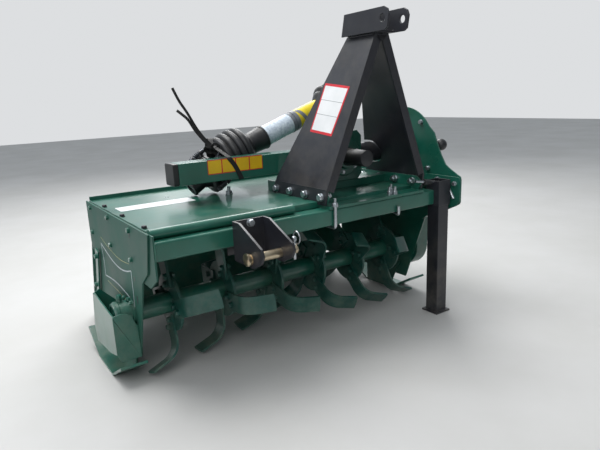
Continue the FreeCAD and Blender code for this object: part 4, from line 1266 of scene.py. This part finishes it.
    def clutch(self) -> Shell:
        """The clutch: a hub, friction plates between two flanges, and the splined sleeve."""
        wide = self.plate_radius
        rings = [(66, 30), (70, 46), (74, 52), (78, wide - 4), (80, wide), (87, wide)]
        for row in (89, 96, 103, 110):
            rings += [(row, wide - 9), (row + 1, wide - 9), (row + 1.5, wide - 2), (row + 5.5, wide - 2),
                      (row + 6, wide - 9)]
        rings += [(117, wide - 9), (118, wide - 1), (120, wide), (127, wide), (129, wide - 3),
                  (130, 54), (138, 44), (148, 36), (152, 33), (192, 32), (194, 34), (200, 34),
                  (203, 31), (203, 20), (188, 18)]
        shells = [lathe(rings, self.clutch_at, self.down, 64)]
        for out in self._bolt_places():
            for start in (79.5, 119.5):
                shells.append(lathe([(start, 10), (start + 1, 12), (start + 7, 12), (start + 8, 10)],
                                    out, self.down, 24))
        return join(shells)

    def _bolt_places(self) -> list[np.ndarray]:
        """Points at the joint's level from which the clutch's bolts run along its axis."""
        return list(self.clutch_at
                    + self.bolt_radius * around(self.down, np.radians(self.bolt_turns)))

    def clutch_bolts(self) -> Shell:
        """Spring bolts round the clutch: a head, a coil spring and a nut for each."""
        nut, head = Bolt(head=10, thread=8), Bolt()
        shells = []
        spin = np.linspace(0.0, 2 * np.pi * 4, 65)
        for out in self._bolt_places():
            shells.append(head.shell(out + 127 * self.down, self.down, out[1]))
            shells.append(nut.shell(out + 79 * self.down, -self.down, out[1]))
            shells.append(lathe([(72, 5.5), (128, 5.5)], out, self.down, 12))
            coil = (out + (90 + 27 * spin / spin[-1])[:, None] * self.down
                    + 10 * around(self.down, spin))
            shells.append(sweep(coil, circle(2.3, 6), up=self.down))
        return join(shells)

    def strap(self) -> Shell:
        """The flat strap: round the arm's faces, then behind and over the joint.

        The band is a thin section carried round a closed smooth path, with its width kept nearest
        to the machine's width.
        """
        section = np.array(rect((-1.2, -9), (1.2, 9)))
        return sweep(smooth_path(self.strap_corners, 5, loop=True), section, up=(1, 0, 0), loop=True)

    def tails(self) -> Shell:
        """The knot beside the joint, and the strap's two stiff ends that stand up from it."""
        flat = np.array(rect((-5.5, -1.2), (5.5, 1.2)))
        return join([sweep(smooth_path(corners, 8), flat, up=(0.3, -1, 0.2))
                     for corners in self.tail_corners])


@dataclass
class Stand:
    """The parking stand, the sleeve it slides in, and its locking rod."""

    guide_cut: float = 500.0
    guide_rise: float = 28.0
    grip_at: tuple = (1134, 8, 573.5)
    shank: tuple = ((1086, 8, 581.5), (1120, 8, 576), (1160, 8, 569.5), (1188, 8, 565))
    handle: tuple = ((1252, 7, 558), (1258, 5, 556), (1263, -2, 549), (1264.5, -14, 529),
                     (1264, -25, 511), (1263.5, -37, 493))

    def build(self) -> None:
        """Make the stand's pieces."""
        dress("parking_stand", BLACK, 3.0, "parking_stand")
        stretch(dress("stand_guide", BLACK, 2.0), 2, self.guide_cut, self.guide_rise)
        make_piece("stand_rod", self.rod(), ZINC, smooth=50)
        grip = lathe([(0, 9), (2, 12), (36, 12), (38, 9)], self.grip_at, (1, 0, -0.16), 28)
        make_piece("stand_grip", grip, PLASTIC, smooth=50)

    def rod(self) -> Shell:
        """The plated rod that locks the stand: a straight shank, and a bent handle on the right."""
        return join([sweep(np.array(self.shank, float), circle(5.2, 14), up=(0, 1, 0.3)),
                     sweep(smooth_path(self.handle, 6), circle(7.0, 14), up=(1, 0.2, 0))])


@dataclass
class Tailboard:
    """The curved tailboard with its right end plate, and its hinge."""

    edge: float = 60.0
    edge_drop: float = -20.0
    wing_span: tuple = (1245.5, 4.0)
    wing: tuple = ((786, 470), (834, 380), (871, 290), (914, 172), (936, 92), (765, 84), (735, 150),
                   (728, 260), (736, 340), (758, 430))

    def build(self) -> None:
        """Make the tailboard's pieces."""
        stretch(dress("tailboard", GREEN, 1.2, "tailboard"), 2, self.edge, self.edge_drop)
        dress("tail_hinge", GREEN, 0.8)
        make_piece("tailboard_wing", plate(self.wing, Plane.ACROSS, *self.wing_span), GREEN,
                   "tailboard", bevel_mm=0.8)


# ---------------------------------------------------------------- studio


@dataclass
class Studio:
    """The floor, the lamps and the camera at the photograph's angle."""

    camera_at: tuple = (-1.0990, -1.8371, 0.9284)
    right: tuple = (0.8221, -0.5679, -0.0404)
    up: tuple = (0.16686, 0.17250, 0.97077)
    back: tuple = (-0.54435, -0.80481, 0.23658)
    lens: float = 31.66
    sky_lean: tuple = (0.0, -0.8, -0.6)
    sky_low: float = 0.2
    sky_high: float = 0.8
    floor_reach: float = 14.0
    lamps: tuple = (("high", (-0.9, 0.8, 4.0), (0.0, 0.0, 0.4), 2.4, 150.0),
                    ("rear", (1.8, 2.8, 3.0), (0.0, 0.0, 0.5), 2.6, 110.0),
                    ("front", (-2.4, -2.4, 3.0), (0.0, 0.0, 0.4), 3.0, 52.0))

    def build(self) -> None:
        """Make the floor, the lamps, the sky and the camera."""
        self.floor()
        self.sky()
        for lamp in self.lamps:
            self.hang(*lamp)
        self.camera()

    def floor(self) -> None:
        """A wide pale floor with the faint grain of trowelled screed."""
        mesh = bpy.data.meshes.new("floor")
        reach = self.floor_reach
        corners = [(x, y, 0) for x, y in rect((-reach, -reach), (reach, reach))]
        mesh.from_pydata(corners, [], [(0, 1, 2, 3)])
        mesh.materials.append(SCREED.material())
        floor = bpy.data.objects.new("floor", mesh)
        show(floor)

    def sky(self) -> None:
        """A soft light that is stronger from behind and above, and a pale backdrop."""
        world = bpy.data.worlds.new("studio")
        bpy.context.scene.world = world
        tree = fresh_tree(world)
        camera_ray = add_node(tree, "ShaderNodeLightPath").outputs["Is Camera Ray"]
        toward = add_node(tree, "ShaderNodeNewGeometry").outputs["Incoming"]
        lean = add_node(tree, "ShaderNodeVectorMath", {"operation": "DOT_PRODUCT"},
                        {1: self.sky_lean}, {0: toward}).outputs["Value"]
        light = add_node(tree, "ShaderNodeBackground", None, {"Color": linear("#e4ebf2")},
                         {"Strength": remap(tree, lean, -1.0, 1.0, self.sky_low, self.sky_high)})
        seen = add_node(tree, "ShaderNodeBackground", None,
                        {"Color": linear("#e2e4e6"), "Strength": 0.95})
        shown = add_node(tree, "ShaderNodeMixShader", None, None,
                         {0: camera_ray, 1: light.outputs[0], 2: seen.outputs[0]})
        add_node(tree, "ShaderNodeOutputWorld", None, None, {"Surface": shown.outputs[0]})

    @staticmethod
    def hang(name: str, place: tuple, target: tuple, size: float, power: float) -> None:
        """A square soft lamp that faces a point.

        Args:
            name: the lamp's name.
            place: where it hangs, in metres.
            target: the point that it faces.
            size: its side, in metres.
            power: its power, in watts.
        """
        data = bpy.data.lights.new(name, "AREA")
        data.shape = "SQUARE"
        data.size = size
        data.energy = power
        lamp = bpy.data.objects.new(name, data)
        lamp.location = place
        lamp.rotation_euler = (Vector(target) - Vector(place)).to_track_quat("-Z", "Y").to_euler()
        show(lamp)

    def camera(self) -> None:
        """The camera, from the right, up and backward directions of the photograph."""
        data = bpy.data.cameras.new("camera")
        data.lens = self.lens
        data.sensor_width = 36.0
        camera = bpy.data.objects.new("camera", data)
        turn = Matrix((self.right, self.up, self.back)).transposed()
        camera.matrix_world = Matrix.Translation(self.camera_at) @ turn.to_4x4()
        show(camera)
        bpy.context.scene.camera = camera


def main() -> None:
    """Build every sub-assembly in order, then the studio."""
    logging.basicConfig(level=logging.INFO, format="%(message)s")
    bpy.context.scene.view_settings.view_transform = "Standard"
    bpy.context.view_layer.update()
    for assembly in (Hood(), Guard(), Rotor(), Drive(), HitchFrame(), SupportArm(), LowerHitch(),
                     StowedShaft(), Stand(), Tailboard()):
        assembly.build()
    Studio().build()


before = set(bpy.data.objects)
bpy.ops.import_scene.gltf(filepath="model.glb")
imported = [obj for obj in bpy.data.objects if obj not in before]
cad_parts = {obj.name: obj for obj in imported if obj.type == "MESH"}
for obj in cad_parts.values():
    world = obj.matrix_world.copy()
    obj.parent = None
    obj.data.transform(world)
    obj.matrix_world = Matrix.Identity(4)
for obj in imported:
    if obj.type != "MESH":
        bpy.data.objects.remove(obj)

if __name__ == "__main__":
    main()
